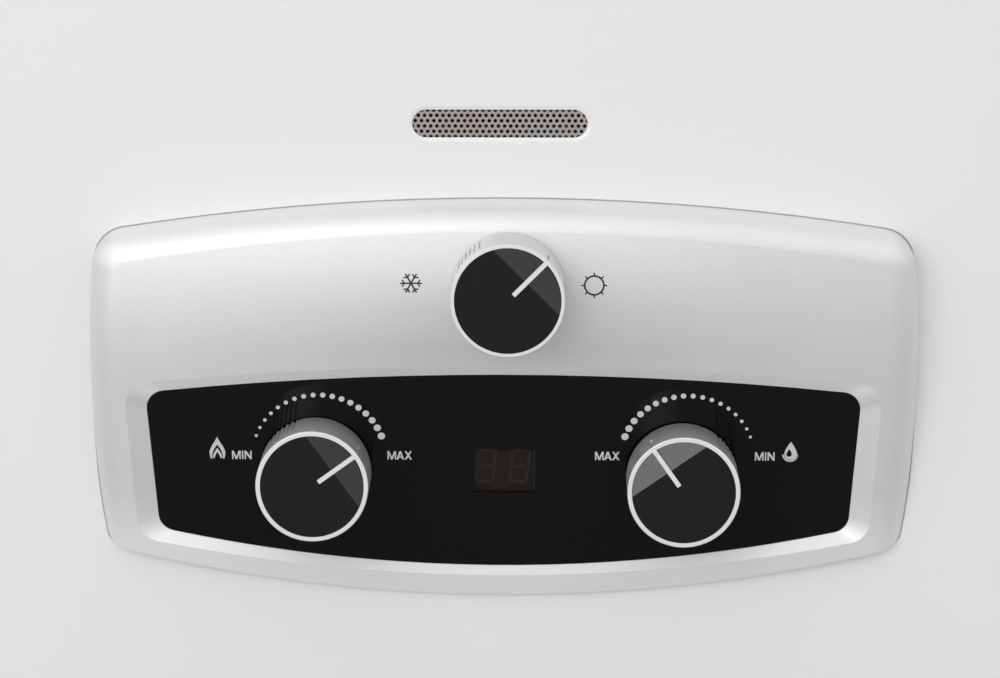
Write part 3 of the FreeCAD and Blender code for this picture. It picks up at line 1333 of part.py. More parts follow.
def inlet_filter():
    """Strainer thimble inside the cold inlet."""
    low = FLOOR_UNDER - NUT_LENGTH - THREAD_LENGTH + 2
    outer = THREAD_BORE - 0.2
    top = low + 2 * outer
    wall = 0.8
    cup = rod(outer, V(WATER_X, VALVE_Y, low), V(WATER_X, VALVE_Y, top))
    return cup.cut(rod(outer - wall, V(WATER_X, VALVE_Y, low - 1), V(WATER_X, VALVE_Y, top - wall)))


def flange_right():
    """Left face of the water valve's block, where its round flange starts."""
    return WATER_X - VALVE_SIZE * 0.42


def diaphragm_left():
    return flange_right() - FLANGE_WALL - DIAPHRAGM_WALL


def along_valves(radius, left, right):
    """Round bar on the common axis of the gas and water valves."""
    return rod(radius, V(left, VALVE_Y, VALVE_Z), V(right, VALVE_Y, VALVE_Z))


def on_drain(height):
    """Point on the drain plug's axis, behind the cold inlet and clear of its nut."""
    return V(riser_foot() + PIPE_RADIUS - 1, VALVE_Y + VALVE_SIZE / 3, height)


def water_valve_body():
    left, right = flange_right(), riser_foot() + PIPE_RADIUS + 2
    flange = along_valves(DIAPHRAGM_RADIUS, left - FLANGE_WALL, left + 1)
    drain_top = valve_low() + DRAIN_DEPTH
    drain_boss = rod(PLUG_RADIUS + 3, on_drain(valve_low()), on_drain(drain_top + 3))
    body = join([valve_block(left, right), flange, spindle_boss(WATER_X, WATER_Z), drain_boss])
    chamber = along_valves(DIAPHRAGM_RADIUS - FLANGE_LAND, left - FLANGE_WALL - 1, left)
    inlet = rod(THREAD_BORE, V(WATER_X, VALVE_Y, valve_low() - 1), V(WATER_X, VALVE_Y, drain_top))
    outlet = rod(PIPE_BORE, V(riser_foot(), VALVE_Y, valve_top() - DRAIN_DEPTH),
                 V(riser_foot(), VALVE_Y, valve_top() + 1))
    drain = rod(PLUG_RADIUS + PLUG_FIT, on_drain(valve_low() - 1), on_drain(drain_top))
    return body.cut([spindle_bore(WATER_X, WATER_Z), chamber, inlet, outlet, drain])


def diaphragm():
    left = diaphragm_left()
    return along_valves(DIAPHRAGM_RADIUS, left, left + DIAPHRAGM_WALL)


def cover_dome_left():
    return diaphragm_left() - FLANGE_WALL - DOME_RISE


def water_valve_cover():
    """Domed cover over the diaphragm with the push rod's guide."""
    left, right = cover_dome_left(), diaphragm_left()
    flange = along_valves(DIAPHRAGM_RADIUS, right - FLANGE_WALL, right)
    dome = along_valves(DIAPHRAGM_RADIUS - FLANGE_LAND, left, right)
    guide = along_valves(2 * ROD_RADIUS + 2, left - GUIDE_LENGTH, right)
    chamber = along_valves(DIAPHRAGM_RADIUS - FLANGE_LAND - DOME_WALL, left + DOME_WALL, right + 1)
    bore = along_valves(ROD_RADIUS + ROD_FIT, left - GUIDE_LENGTH - 1, right)
    return join([flange, dome, guide]).cut([chamber, bore])


def push_rod():
    """Rod from the diaphragm's plate to the gas valve, with the switch's collar."""
    right = diaphragm_left() - PIPE_GAP
    bar = along_valves(ROD_RADIUS, gas_right() - ROD_SEAT, right)
    plate = along_valves(ROD_PLATE_RADIUS, right - ROD_PLATE_WALL, right)
    collar = along_valves(2 * ROD_RADIUS, collar_left(), collar_left() + 3)
    return join([bar, plate, collar])


def lever_x():
    """Pivot of the switch lever."""
    return gas_right() + 20.0


def lever_z():
    return VALVE_Z + 16.0


def collar_left():
    return lever_x() + 0.9


def microswitch():
    """Switch on the gas valve with two cheeks and a pin for its lever."""
    left = gas_right()
    body = span(left, lever_x() - 5.5, VALVE_Y - 3.2, VALVE_Y + 3.2, lever_z() - 7, lever_z() + 4)
    cheeks = [span(lever_x() - 6, lever_x() + 2, VALVE_Y + y - 0.6, VALVE_Y + y + 0.6, lever_z() - 2,
                   lever_z() + 4) for y in (-2.6, 2.6)]
    pin = rod(0.7, V(lever_x(), VALVE_Y - 3, lever_z()), V(lever_x(), VALVE_Y + 3, lever_z()))
    return join([body] + cheeks + [pin])


def switch_lever():
    """Sprung lever that the push rod's collar swings."""
    low = VALVE_Z + ROD_RADIUS + 1
    blade = span(lever_x() - 0.4, lever_x() + 0.4, VALVE_Y - 1.7, VALVE_Y + 1.7, low, lever_z())
    eye = rod(1.7, V(lever_x(), VALVE_Y - 1.7, lever_z()), V(lever_x(), VALVE_Y + 1.7, lever_z()))
    bore = rod(0.75, V(lever_x(), VALVE_Y - 2, lever_z()), V(lever_x(), VALVE_Y + 2, lever_z()))
    return join([blade, eye]).cut(bore)


def drain_plug():
    """Drain plug from the water valve down through the bottom plate, with a wing."""
    low = CASING_BOTTOM - 4
    place = on_drain(low)
    shank = rod(PLUG_RADIUS, place, on_drain(valve_low() + DRAIN_DEPTH - 1))
    head = rod(PLUG_RADIUS + 2, on_drain(low - 3), place)
    wing = span(place.x - PLUG_RADIUS, place.x + PLUG_RADIUS, place.y - 1.5, place.y + 1.5, low - 11, low)
    return join([shank, head, wing])


# ---- battery box ----------------------------------------------------------
def battery_walls():
    """Outer left, right, front and back of the battery box."""
    right = CASING_WIDTH / 2 - COVER_WALL - BOX_RIGHT_GAP
    left = right - 4 * CELL_RADIUS - 3 * CELL_GAP - 2 * BOX_WALL
    half = CELL_RADIUS + CELL_GAP + BOX_WALL
    return left, right, BOX_Y - half, BOX_Y + half


def cell_places():
    left = battery_walls()[0] + BOX_WALL + CELL_GAP + CELL_RADIUS
    return [left, left + 2 * CELL_RADIUS + CELL_GAP]


def cell_foot():
    return FLOOR_UNDER + CONTACT_WALL + DOOR_FIT


def cell_nub():
    """Height of a cell's positive nub."""
    return 1.5


def cell_top():
    return cell_foot() + CELL_LENGTH


def battery_box():
    left, right, front, back = battery_walls()
    top = cell_top() + DOOR_FIT + CONTACT_WALL
    box = span(left, right, front, back, FLOOR_Z, top + BOX_WALL)
    return box.cut(span(left + BOX_WALL, right - BOX_WALL, front + BOX_WALL, back - BOX_WALL,
                        FLOOR_Z - 1, top))


def battery_cells():
    """Two cells, one of them upside down."""
    cells = []
    for index, x in enumerate(cell_places()):
        body_foot = cell_foot() + (cell_nub() if index else 0)
        nub_foot = cell_foot() if index else cell_top() - cell_nub()
        can = rod(CELL_RADIUS, V(x, BOX_Y, body_foot), V(x, BOX_Y, body_foot + CELL_LENGTH - cell_nub()))
        nub = rod(CELL_RADIUS / 3.5, V(x, BOX_Y, nub_foot), V(x, BOX_Y, nub_foot + cell_nub()))
        cells.append(join([can, nub]))
    return group(cells)


def battery_contacts():
    top = cell_top() + DOOR_FIT
    return group([span(x - 8, x + 8, BOX_Y - 8, BOX_Y + 8, top, top + CONTACT_WALL)
                  for x in cell_places()])


def door_contact():
    first, second = cell_places()
    return span(first - 8, second + 8, BOX_Y - 6, BOX_Y + 6, FLOOR_UNDER, FLOOR_UNDER + CONTACT_WALL)


def hinge_line():
    """Depth and height of the battery door's pivot."""
    return battery_walls()[3] + DOOR_PIN + 3, FLOOR_UNDER - DOOR_PIN - 2


def door_ends():
    left, right = battery_walls()[:2]
    return left + 3, right - 3


def battery_door():
    """Door under the cells with a barrel, two pins and a thumb lip."""
    left, right = door_ends()
    y, z = hinge_line()
    front = battery_walls()[2]
    plate = span(left, right, front, y, FLOOR_UNDER - DOOR_WALL, FLOOR_UNDER)
    barrel = rod(DOOR_PIN + 1.4, V(left, y, z), V(right, y, z))
    pins = rod(DOOR_PIN, V(left - 3, y, z), V(right + 3, y, z))
    middle = (left + right) / 2
    lip = span(middle - 12, middle + 12, front - 5, front + 2, FLOOR_UNDER - DOOR_WALL - 2,
               FLOOR_UNDER - DOOR_FIT)
    keep = span(left - 9, right + 9, front - 9, y + 9, z - 9, FLOOR_UNDER)
    return join([plate, barrel, pins, lip]).common(keep)


def hinge_ears():
    """Ears under the bottom plate that carry the door's pins."""
    left, right = door_ends()
    y, z = hinge_line()
    ears = []
    for x0, x1 in ((left - 3, left - DOOR_FIT), (right + DOOR_FIT, right + 3)):
        ear = block(x0, x1, y - 4, y + 4, z - 4, FLOOR_UNDER + BOTTOM_WALL / 2, 1.5, X_AXIS)
        ears.append(ear.cut(rod(DOOR_PIN + 0.1, V(x0 - 1, y, z), V(x1 + 1, y, z))))
    return ears


# ---- igniter --------------------------------------------------------------
def igniter_box():
    """Pulse igniter standing on the bottom plate behind the display."""
    back = VALVE_Y - DIAPHRAGM_RADIUS - 3
    body = block(-IGNITER_WIDTH / 2, IGNITER_WIDTH / 2, back - IGNITER_DEPTH, back, FLOOR_Z,
                 FLOOR_Z + IGNITER_HEIGHT, 3)
    posts = [rod(2.5, V(x, back - IGNITER_DEPTH / 2, FLOOR_Z + IGNITER_HEIGHT),
                 V(x, back - IGNITER_DEPTH / 2, FLOOR_Z + IGNITER_HEIGHT + 5)) for x in (-8, 8)]
    return join([body] + posts)


SUB_PARTS = (
    back_plate, bottom_plate, front_cover, cover_screws, inspection_screen, panel_bezel, panel_insert,
    bezel_screws, display_module, display_board, gas_knob, gas_knob_cap, gas_spindle, water_knob,
    water_knob_cap, water_spindle, season_knob, season_knob_cap, season_spindle, flue_hood, rain_cap,
    cap_posts, bail_lugs, carry_bail, bail_grip, exchanger_jacket, exchanger_tubes, exchanger_fins,
    exchanger_coil, chamber_brackets, riser_pipe, hot_outlet_pipe, hot_outlet_fitting, thermal_cutout,
    temperature_sensor, burner_bars, burner_frame, gas_manifold, gas_nozzles, spark_electrode,
    flame_sensor, gas_valve_body, gas_feed_tube, solenoid_valve, gas_inlet_fitting,
    cold_inlet_fitting, inlet_filter, water_valve_body, water_valve_cover, diaphragm, push_rod,
    microswitch, switch_lever, drain_plug, battery_box, battery_cells, battery_contacts,
    battery_door, door_contact, igniter_box,
)


def main():
    os.makedirs("parts", exist_ok=True)
    for make in SUB_PARTS:
        make().exportStep(os.path.join("parts", make.__name__ + ".step"))


main()
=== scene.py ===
"""Wall-hung portable gas water heater: finishes, printed marks, pipe threads and studio.

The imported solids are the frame. Every piece made here sits on them, in metres, +Z up, front to -Y.
"""
import logging
import math
from contextlib import contextmanager
from dataclasses import dataclass, field
from enum import Enum
from typing import Callable, Dict, Iterator, List, Optional, Sequence, Tuple, Union

import bpy
from mathutils import Matrix, Vector


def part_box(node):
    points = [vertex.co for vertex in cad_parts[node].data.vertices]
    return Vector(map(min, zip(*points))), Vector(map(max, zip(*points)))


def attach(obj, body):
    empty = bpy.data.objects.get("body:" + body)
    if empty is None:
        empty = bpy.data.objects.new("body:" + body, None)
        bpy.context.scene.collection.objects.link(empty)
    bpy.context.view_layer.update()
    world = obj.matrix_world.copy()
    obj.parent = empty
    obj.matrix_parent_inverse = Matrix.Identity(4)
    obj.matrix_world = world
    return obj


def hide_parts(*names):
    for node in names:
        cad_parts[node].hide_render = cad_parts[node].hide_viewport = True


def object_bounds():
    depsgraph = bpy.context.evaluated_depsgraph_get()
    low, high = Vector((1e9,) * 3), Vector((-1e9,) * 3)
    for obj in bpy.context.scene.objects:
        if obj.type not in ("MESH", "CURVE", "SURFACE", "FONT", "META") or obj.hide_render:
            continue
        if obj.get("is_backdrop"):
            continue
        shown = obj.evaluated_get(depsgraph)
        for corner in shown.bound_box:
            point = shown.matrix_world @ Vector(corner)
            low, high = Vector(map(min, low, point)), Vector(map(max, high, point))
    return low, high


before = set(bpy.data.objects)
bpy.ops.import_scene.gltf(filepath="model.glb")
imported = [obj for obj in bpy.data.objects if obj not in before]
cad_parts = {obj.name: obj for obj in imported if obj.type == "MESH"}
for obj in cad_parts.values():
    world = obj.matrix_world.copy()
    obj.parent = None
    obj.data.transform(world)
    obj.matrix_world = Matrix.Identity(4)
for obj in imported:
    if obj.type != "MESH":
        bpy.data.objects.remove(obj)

LOG = logging.getLogger("heater")
MM = 0.001
MERGE_SOLID = 1e-6
MERGE_PRINT = 0.5e-6
CUT_SLACK = 1e-7
Colour = Tuple[float, float, float]
Outline = List[Tuple[float, float]]


class Direction(Enum):
    """Way a brushed or drawn grain runs, as the scale of its noise along x, y and z."""

    ALONG_X = (0.02, 1.0, 1.0)
    ALONG_Y = (1.0, 0.02, 1.0)
    ALONG_Z = (1.0, 1.0, 0.02)


class Side(Enum):
    """End of the dial that a row of dots grows towards."""

    LEFT = -1
    RIGHT = 1


# ---- shader bench -----------------------------------------------------------
class Signal:
    """One number that a shader works out at every point, written as plain arithmetic."""

    def __init__(self, tree: bpy.types.NodeTree, socket: bpy.types.NodeSocket) -> None:
        """Wrap a socket.

        Args:
            tree: Node tree that the socket belongs to.
            socket: Output that carries the number.
        """
        self.tree = tree
        self.socket = socket

    def step(self, operation: str, *others: "Operand", clamp: bool = False) -> "Signal":
        """Add one Math node.

        Args:
            operation: Operation of the node.
            others: Second and third operands.
            clamp: Whether the result is held between 0 and 1.

        Returns:
            The node's result.
        """
        return arithmetic(self.tree, operation, (self,) + others, clamp)

    def __add__(self, other: "Operand") -> "Signal":
        """Sum."""
        return self.step("ADD", other)

    def __radd__(self, other: "Operand") -> "Signal":
        """Sum, number first."""
        return self.step("ADD", other)

    def __sub__(self, other: "Operand") -> "Signal":
        """Difference."""
        return self.step("SUBTRACT", other)

    def __rsub__(self, other: "Operand") -> "Signal":
        """Difference, number first."""
        return arithmetic(self.tree, "SUBTRACT", (other, self), False)

    def __mul__(self, other: "Operand") -> "Signal":
        """Product."""
        return self.step("MULTIPLY", other)

    def __rmul__(self, other: "Operand") -> "Signal":
        """Product, number first."""
        return self.step("MULTIPLY", other)

    def __truediv__(self, other: "Operand") -> "Signal":
        """Quotient."""
        return self.step("DIVIDE", other)

    def __rtruediv__(self, other: "Operand") -> "Signal":
        """Quotient, number first."""
        return arithmetic(self.tree, "DIVIDE", (other, self), False)

    def __abs__(self) -> "Signal":
        """Size without sign."""
        return self.step("ABSOLUTE")

    def __gt__(self, other: "Operand") -> "Signal":
        """1 where the number is larger, else 0."""
        return self.step("GREATER_THAN", other)

    def __lt__(self, other: "Operand") -> "Signal":
        """1 where the number is smaller, else 0."""
        return self.step("LESS_THAN", other)

    def held(self) -> "Signal":
        """The number held between 0 and 1."""
        return self.step("ADD", 0.0, clamp=True)

    def ramp(self, low: float, high: float) -> "Signal":
        """Soft rise from 0 at low to 1 at high."""
        return ((self - low) / (high - low)).held()

    def wave(self) -> "Signal":
        """Sine of the number."""
        return self.step("SINE")


Operand = Union[float, Signal]


def arithmetic(tree: bpy.types.NodeTree, operation: str, values: Sequence[Operand],
               clamp: bool) -> Signal:
    """Add a Math node fed by numbers and signals.

    Args:
        tree: Node tree that gets the node.
        operation: Operation of the node.
        values: Operands in order.
        clamp: Whether the result is held between 0 and 1.

    Returns:
        The node's result.
    """
    node = tree.nodes.new("ShaderNodeMath")
    node.operation = operation
    node.use_clamp = clamp
    for index, value in enumerate(values):
        if isinstance(value, Signal):
            tree.links.new(value.socket, node.inputs[index])
        else:
            node.inputs[index].default_value = value
    return Signal(tree, node.outputs[0])


Paint = Union[Colour, bpy.types.NodeSocket]


def opaque(value: object) -> object:
    """Give a colour its fourth number and leave anything else as it is."""
    return (*value, 1.0) if isinstance(value, tuple) else value


def shade(colour: Colour, share: float) -> Colour:
    """Make a colour darker or paler by a factor."""
    return tuple(min(1.0, part * share) for part in colour)


class Board:
    """Node tree that is laid out in code."""

    def __init__(self, tree: bpy.types.NodeTree) -> None:
        """Take over a node tree and empty it."""
        self.tree = tree
        self.tree.nodes.clear()

    def feed(self, node: bpy.types.Node, feeds: Dict[Union[str, int], object]) -> None:
        """Give a node's sockets their values or links.

        Args:
            node: The node.
            feeds: Values or links, by socket name or number.
        """
        for key, value in feeds.items():
            if isinstance(value, Signal):
                self.tree.links.new(value.socket, node.inputs[key])
            elif isinstance(value, bpy.types.NodeSocket):
                self.tree.links.new(value, node.inputs[key])
            else:
                node.inputs[key].default_value = value

    def node(self, kind: str, settings: Dict[str, object],
             feeds: Dict[Union[str, int], object]) -> bpy.types.Node:
        """Add any node.

        Args:
            kind: Node type.
            settings: Settings of the node, made before its sockets are fed.
            feeds: Values or links, by socket name or number.

        Returns:
            The node.
        """
        made = self.tree.nodes.new(kind)
        for name, value in settings.items():
            setattr(made, name, value)
        self.feed(made, feeds)
        return made

    def point(self, output: str) -> bpy.types.NodeSocket:
        """One kind of coordinates."""
        return self.node("ShaderNodeTexCoord", {}, {}).outputs[output]

    def axes(self, vector: bpy.types.NodeSocket) -> Tuple[Signal, Signal, Signal]:
        """The x, y and z of a vector."""
        split = self.node("ShaderNodeSeparateXYZ", {}, {0: vector})
        return tuple(Signal(self.tree, socket) for socket in split.outputs)


class Bench(Board):
    """Workplace for one material."""

    def __init__(self, name: str) -> None:
        """Start an empty material with its surface shader.

        Args:
            name: Name of the material.
        """
        self.material = bpy.data.materials.new(name)
        self.material.use_nodes = True
        super().__init__(self.material.node_tree)
        self.surface = self.node("ShaderNodeBsdfPrincipled", {}, {})
        self.node("ShaderNodeOutputMaterial", {}, {0: self.surface.outputs[0]})
        self.spot: Optional[bpy.types.NodeSocket] = None

    def coordinates(self) -> bpy.types.NodeSocket:
        """Object coordinates, in metres.

        Returns:
            The coordinates, from one node for the whole material.
        """
        if self.spot is None:
            self.spot = self.point("Object")
        return self.spot

    def place(self) -> Tuple[Signal, Signal, Signal]:
        """The point's x, y and z, in metres."""
        return self.axes(self.coordinates())

    def slope(self) -> Tuple[Signal, Signal, Signal]:
        """The surface normal's x, y and z in the object's own space."""
        return self.axes(self.point("Normal"))

    def stretched(self, stretch: Sequence[float]) -> bpy.types.NodeSocket:
        """Object coordinates scaled per axis.

        Args:
            stretch: Scale along x, y and z.

        Returns:
            The scaled point.
        """
        return self.node("ShaderNodeMapping", {}, {"Vector": self.coordinates(),
                                                   "Scale": tuple(stretch)}).outputs[0]

    def noise(self, scale: float, detail: float = 3.0, rough: float = 0.5,
              stretch: Sequence[float] = (1.0, 1.0, 1.0)) -> Signal:
        """Cloudy noise around 0.5.

        Args:
            scale: Lumps per metre.
            detail: Octaves.
            rough: Share of the small octaves.
            stretch: Scale along x, y and z.

        Returns:
            The noise.
        """
        made = self.node("ShaderNodeTexNoise", {},
                         {"Vector": self.stretched(stretch), "Scale": scale,
                          "Detail": detail, "Roughness": rough})
        return Signal(self.tree, made.outputs["Fac"])

    def cells(self, scale: float, output: str = "Distance",
              feature: str = "F1") -> bpy.types.NodeSocket:
        """Cell pattern.

        Args:
            scale: Cells per metre.
            output: Output of the pattern.
            feature: Feature of the pattern.

        Returns:
            The chosen output.
        """
        made = self.node("ShaderNodeTexVoronoi", {"feature": feature},
                         {"Vector": self.coordinates(), "Scale": scale})
        return made.outputs[output]

    def single(self, colour: bpy.types.NodeSocket) -> Signal:
        """Red part of a colour as a number."""
        split = self.node("ShaderNodeSeparateColor", {}, {0: colour})
        return Signal(self.tree, split.outputs[0])

    def blend(self, share: Operand, low: Paint, high: Paint) -> bpy.types.NodeSocket:
        """Mix two colours.

        Args:
            share: 0 gives the first colour, 1 the second.
            low: First colour.
            high: Second colour.

        Returns:
            The mixed colour.
        """
        made = self.node("ShaderNodeMix", {"data_type": "RGBA"},
                         {0: share, 6: opaque(low), 7: opaque(high)})
        return made.outputs[2]

    def relief(self, height: Signal, depth_mm: float, strength: float = 1.0) -> None:
        """Raise the surface by a height signal.

        Args:
            height: Height between 0 and 1.
            depth_mm: Height of a full step.
            strength: Share of the effect.
        """
        bump = self.node("ShaderNodeBump", {}, {"Strength": strength, "Distance": depth_mm * MM,
                                                "Height": height})
        self.feed(self.surface, {"Normal": bump.outputs[0]})

    def finish(self, colour: Paint, rough: Operand, metal: Operand = 0.0,
               **others: object) -> bpy.types.Material:
        """Feed the surface shader.

        Args:
            colour: Base colour.
            rough: Roughness.
            metal: Metallic share.
            others: Further sockets, spaces written as underscores.

        Returns:
            The finished material.
        """
        feeds = {"Base Color": opaque(colour), "Roughness": rough, "Metallic": metal}
        feeds.update({name.replace("_", " "): value for name, value in others.items()})
        self.feed(self.surface, feeds)
        return self.material


# ---- finishes ---------------------------------------------------------------
@dataclass(frozen=True)
class Finish:
    """A surface finish; each kind paints its own bench."""

    name: str

    def paint(self, bench: Bench) -> bpy.types.Material:
        """Lay the finish down on a bench."""
        raise NotImplementedError

    def material(self) -> bpy.types.Material:
        """The finish as a material, made once."""
        found = bpy.data.materials.get(self.name)
        return found if found is not None else self.paint(Bench(self.name))


@dataclass(frozen=True)
class PowderCoat(Finish):
    """White stoved powder coat with faint orange peel."""

    colour: Colour = (0.80, 0.80, 0.805)
    peel_per_metre: float = 420.0

    def paint(self, bench: Bench) -> bpy.types.Material:
        """Lay the finish down on a bench.

        Args:
            bench: Workplace of the material.

        Returns:
            The finished material.
        """
        clouds = bench.noise(9.0, 2.0)
        dust = bench.noise(2600.0, 1.0).ramp(0.72, 0.80)
        tone = bench.blend(clouds, shade(self.colour, 0.985), self.colour)
        tone = bench.blend(dust * 0.12, tone, (0.55, 0.54, 0.52))
        bench.relief(bench.noise(self.peel_per_metre, 2.0), 0.03, 0.5)
        return bench.finish(tone, 0.30 + clouds * 0.08, 0.0, Coat_Weight=0.25, Coat_Roughness=0.18)


@dataclass(frozen=True)
class SpangledZinc(Finish):
    """Galvanised sheet with crystal spangle."""

    colour: Colour = (0.60, 0.61, 0.62)
    spangle_per_metre: float = 140.0

    def paint(self, bench: Bench) -> bpy.types.Material:
        """Lay the finish down on a bench.

        Args:
            bench: Workplace of the material.

        Returns:
            The finished material.
        """
        grains = bench.single(bench.cells(self.spangle_per_metre, "Color"))
        feather = bench.noise(900.0, 4.0, 0.6)
        tone = bench.blend(grains * 0.7 + feather * 0.3, shade(self.colour, 0.72), self.colour)
        bench.relief(feather, 0.01, 0.4)
        return bench.finish(tone, 0.30 + grains * 0.22, 0.9)


@dataclass(frozen=True)
class BrightPlating(Finish):
    """Bright zinc plating on small steel parts."""

    colour: Colour = (0.66, 0.66, 0.64)

    def paint(self, bench: Bench) -> bpy.types.Material:
        """Lay the finish down on a bench.

        Args:
            bench: Workplace of the material.

        Returns:
            The finished material.
        """
        film = bench.noise(700.0, 3.0)
        tone = bench.blend(film, self.colour, (0.62, 0.60, 0.50))
        bench.relief(bench.noise(4000.0, 2.0), 0.01, 0.3)
        return bench.finish(tone, 0.22 + film * 0.2, 1.0)


@dataclass(frozen=True)
class FlamePlate(Finish):
    """Perforated plate, a little browned by heat."""

    colour: Colour = (0.33, 0.31, 0.30)

    def paint(self, bench: Bench) -> bpy.types.Material:
        """Lay the finish down on a bench.

        Args:
            bench: Workplace of the material.

        Returns:
            The finished material.
        """
        stain = bench.noise(110.0, 4.0, 0.6)
        speck = bench.noise(1500.0, 2.0)
        tone = bench.blend(stain.ramp(0.35, 0.7), self.colour, (0.33, 0.26, 0.235))
        tone = bench.blend(speck * 0.3, tone, (0.52, 0.50, 0.49))
        bench.relief(speck, 0.02, 0.5)
        return bench.finish(tone, 0.42 + stain * 0.2, 0.35)


@dataclass(frozen=True)
class SilverPaint(Finish):
    """Satin silver paint, with painted highlights on the recess's lips, the outer roll and the lower
    band, and painted shade just over the recess.

    The solid's crown is level from side to side. The slow turn of its highlights to both sides is
    relief in the paint, and no change of shape.
    """

    colour: Colour = (0.778, 0.767, 0.760)
    highlight_colour: Colour = (0.92, 0.91, 0.90)
    metal: float = 0.80
    rough: float = 0.49
    flake_per_metre: float = 5200.0
    side_fall: float = 0.14
    half_width_mm: float = 120.0
    recess_top_mm: float = -425.0
    shade_above_mm: float = 32.0
    shade_below_mm: float = 26.0
    shade_across_mm: Tuple[float, float] = (25.0, 105.0)
    lit_band_mm: Tuple[float, float] = (-492.0, -474.0)
    grain_mm: float = 0.012
    grain_share: float = 0.35

    def painted_highlights(self, bench: Bench) -> Signal:
        """Find where a painted highlight goes: upturned lips of the recess, the outer roll,
        downturned walls and the lower band.

        Args:
            bench: Workplace of the material.

        Returns:
            1 where the painted highlight is strongest, else 0.
        """
        _, _, height = bench.place()
        _, _, up = bench.slope()
        down = 0.0 - up
        # Painted highlight: faces turned up or down, and the band low down, are painted paler as if
        # lit.
        lit_faces = up.ramp(0.50, 0.72) * (height < self.recess_top_mm * MM)
        lit_faces = lit_faces + up.ramp(0.78, 0.95) * 0.4
        lit_faces = lit_faces + down.ramp(0.25, 0.50) * (1.0 - down.ramp(0.90, 0.98))
        low, high = (edge * MM for edge in self.lit_band_mm)
        return (lit_faces + (1.0 - height.ramp(low, high)) * 0.45).held()

    def painted_shade(self, bench: Bench) -> Signal:
        """Find where painted shade goes: the middle of the crown, just over the recess.

        Args:
            bench: Workplace of the material.

        Returns:
            1 where the painted shade is deepest, else 0.
        """
        across, _, height = bench.place()
        top = self.recess_top_mm
        below = height.ramp((top - self.shade_below_mm) * MM, top * MM)
        above = 1.0 - height.ramp(top * MM, (top + self.shade_above_mm) * MM)
        near, far = (edge * MM for edge in self.shade_across_mm)
        return below * above * (1.0 - abs(across).ramp(near, far))

    def paint(self, bench: Bench) -> bpy.types.Material:
        """Lay the finish down on a bench.

        Args:
            bench: Workplace of the material.

        Returns:
            The finished material.
        """
        flake = bench.single(bench.cells(self.flake_per_metre, "Color"))
        cloud = bench.noise(60.0, 3.0)
        across, _, _ = bench.place()
        highlight_share = self.painted_highlights(bench)
        width = 2.0 * self.half_width_mm * MM
        fall = self.side_fall / (width * self.grain_mm * MM * self.grain_share)
        tone = bench.blend(flake * 0.55 + cloud * 0.45, shade(self.colour, 0.95),
                           shade(self.colour, 1.06))
        # Painted shade: the crown just over the recess is darkened towards a deeper silver.
        tone = bench.blend(self.painted_shade(bench) * 0.8, tone, shade(self.colour, 0.78))
        # Painted highlight: the lit faces take the pale colour and lose most of their metal.
        tone = bench.blend(highlight_share * 0.8, tone, self.highlight_colour)
        bench.relief(bench.noise(520.0, 2.0) * 0.7 + flake * 0.3 - across * across * fall,
                     self.grain_mm, self.grain_share)
        return bench.finish(tone, self.rough + cloud * 0.06,
                            self.metal - highlight_share * (self.metal * 0.8),
                            Coat_Weight=0.15, Coat_Roughness=0.3)


@dataclass(frozen=True)
class GlossPanel(Finish):
    """Gloss black panel, smoked and faintly see-through over the display."""

    window: Tuple[float, float, float, float] = (-10.3, 10.3, -474.95, -460.0)
    colour: Colour = (0.0040, 0.0034, 0.0033)
    smoke: float = 0.62

    def paint(self, bench: Bench) -> bpy.types.Material:
        """Lay the finish down on a bench.

        Args:
            bench: Workplace of the material.

        Returns:
            The finished material.
        """
        x, _, z = bench.place()
        left, right, low, high = (value * MM for value in self.window)
        inside = (x > left) * (x < right) * (z > low) * (z < high)
        haze = bench.noise(35.0, 3.0)
        dust = bench.noise(3000.0, 1.0).ramp(0.74, 0.80)
        tone = bench.blend(dust * 0.05, self.colour, (0.30, 0.29, 0.27))
        bench.relief(haze, 0.02, 0.15)
        return bench.finish(tone, 0.055 + haze * 0.03, 0.0, Alpha=1.0 - inside * self.smoke,
                            Specular_IOR_Level=0.14)


@dataclass(frozen=True)
class Moulded(Finish):
    """Moulded plastic with a spark-eroded grain."""

    colour: Colour = (0.035, 0.035, 0.037)
    rough: float = 0.48
    shine: float = 0.4

    def paint(self, bench: Bench) -> bpy.types.Material:
        """Lay the finish down on a bench.

        Args:
            bench: Workplace of the material.

        Returns:
            The finished material.
        """
        grain = bench.noise(2400.0, 3.0, 0.6)
        cloud = bench.noise(45.0, 2.0)
        pale = tuple(min(1.0, part * 1.35 + 0.004) for part in self.colour)
        tone = bench.blend(cloud * 0.6 + grain * 0.4, self.colour, pale)
        bench.relief(grain, 0.02, 0.5)
        return bench.finish(tone, self.rough + cloud * 0.1, 0.0, Specular_IOR_Level=self.shine)


@dataclass(frozen=True)
class CircuitBoard(Finish):
    """Green board with tracks under its lacquer."""

    def paint(self, bench: Bench) -> bpy.types.Material:
        """Lay the finish down on a bench.

        Args:
            bench: Workplace of the material.

        Returns:
            The finished material.
        """
        tracks = Signal(bench.tree, bench.cells(420.0, "Distance", "DISTANCE_TO_EDGE")) < 0.06
        pads = Signal(bench.tree, bench.cells(300.0)) < 0.16
        tone = bench.blend(tracks, (0.012, 0.085, 0.030), (0.035, 0.17, 0.06))
        tone = bench.blend(pads, tone, (0.62, 0.58, 0.48))
        bench.relief(tracks, 0.03, 0.6)
        return bench.finish(tone, 0.32 - pads * 0.08, pads * 0.8)


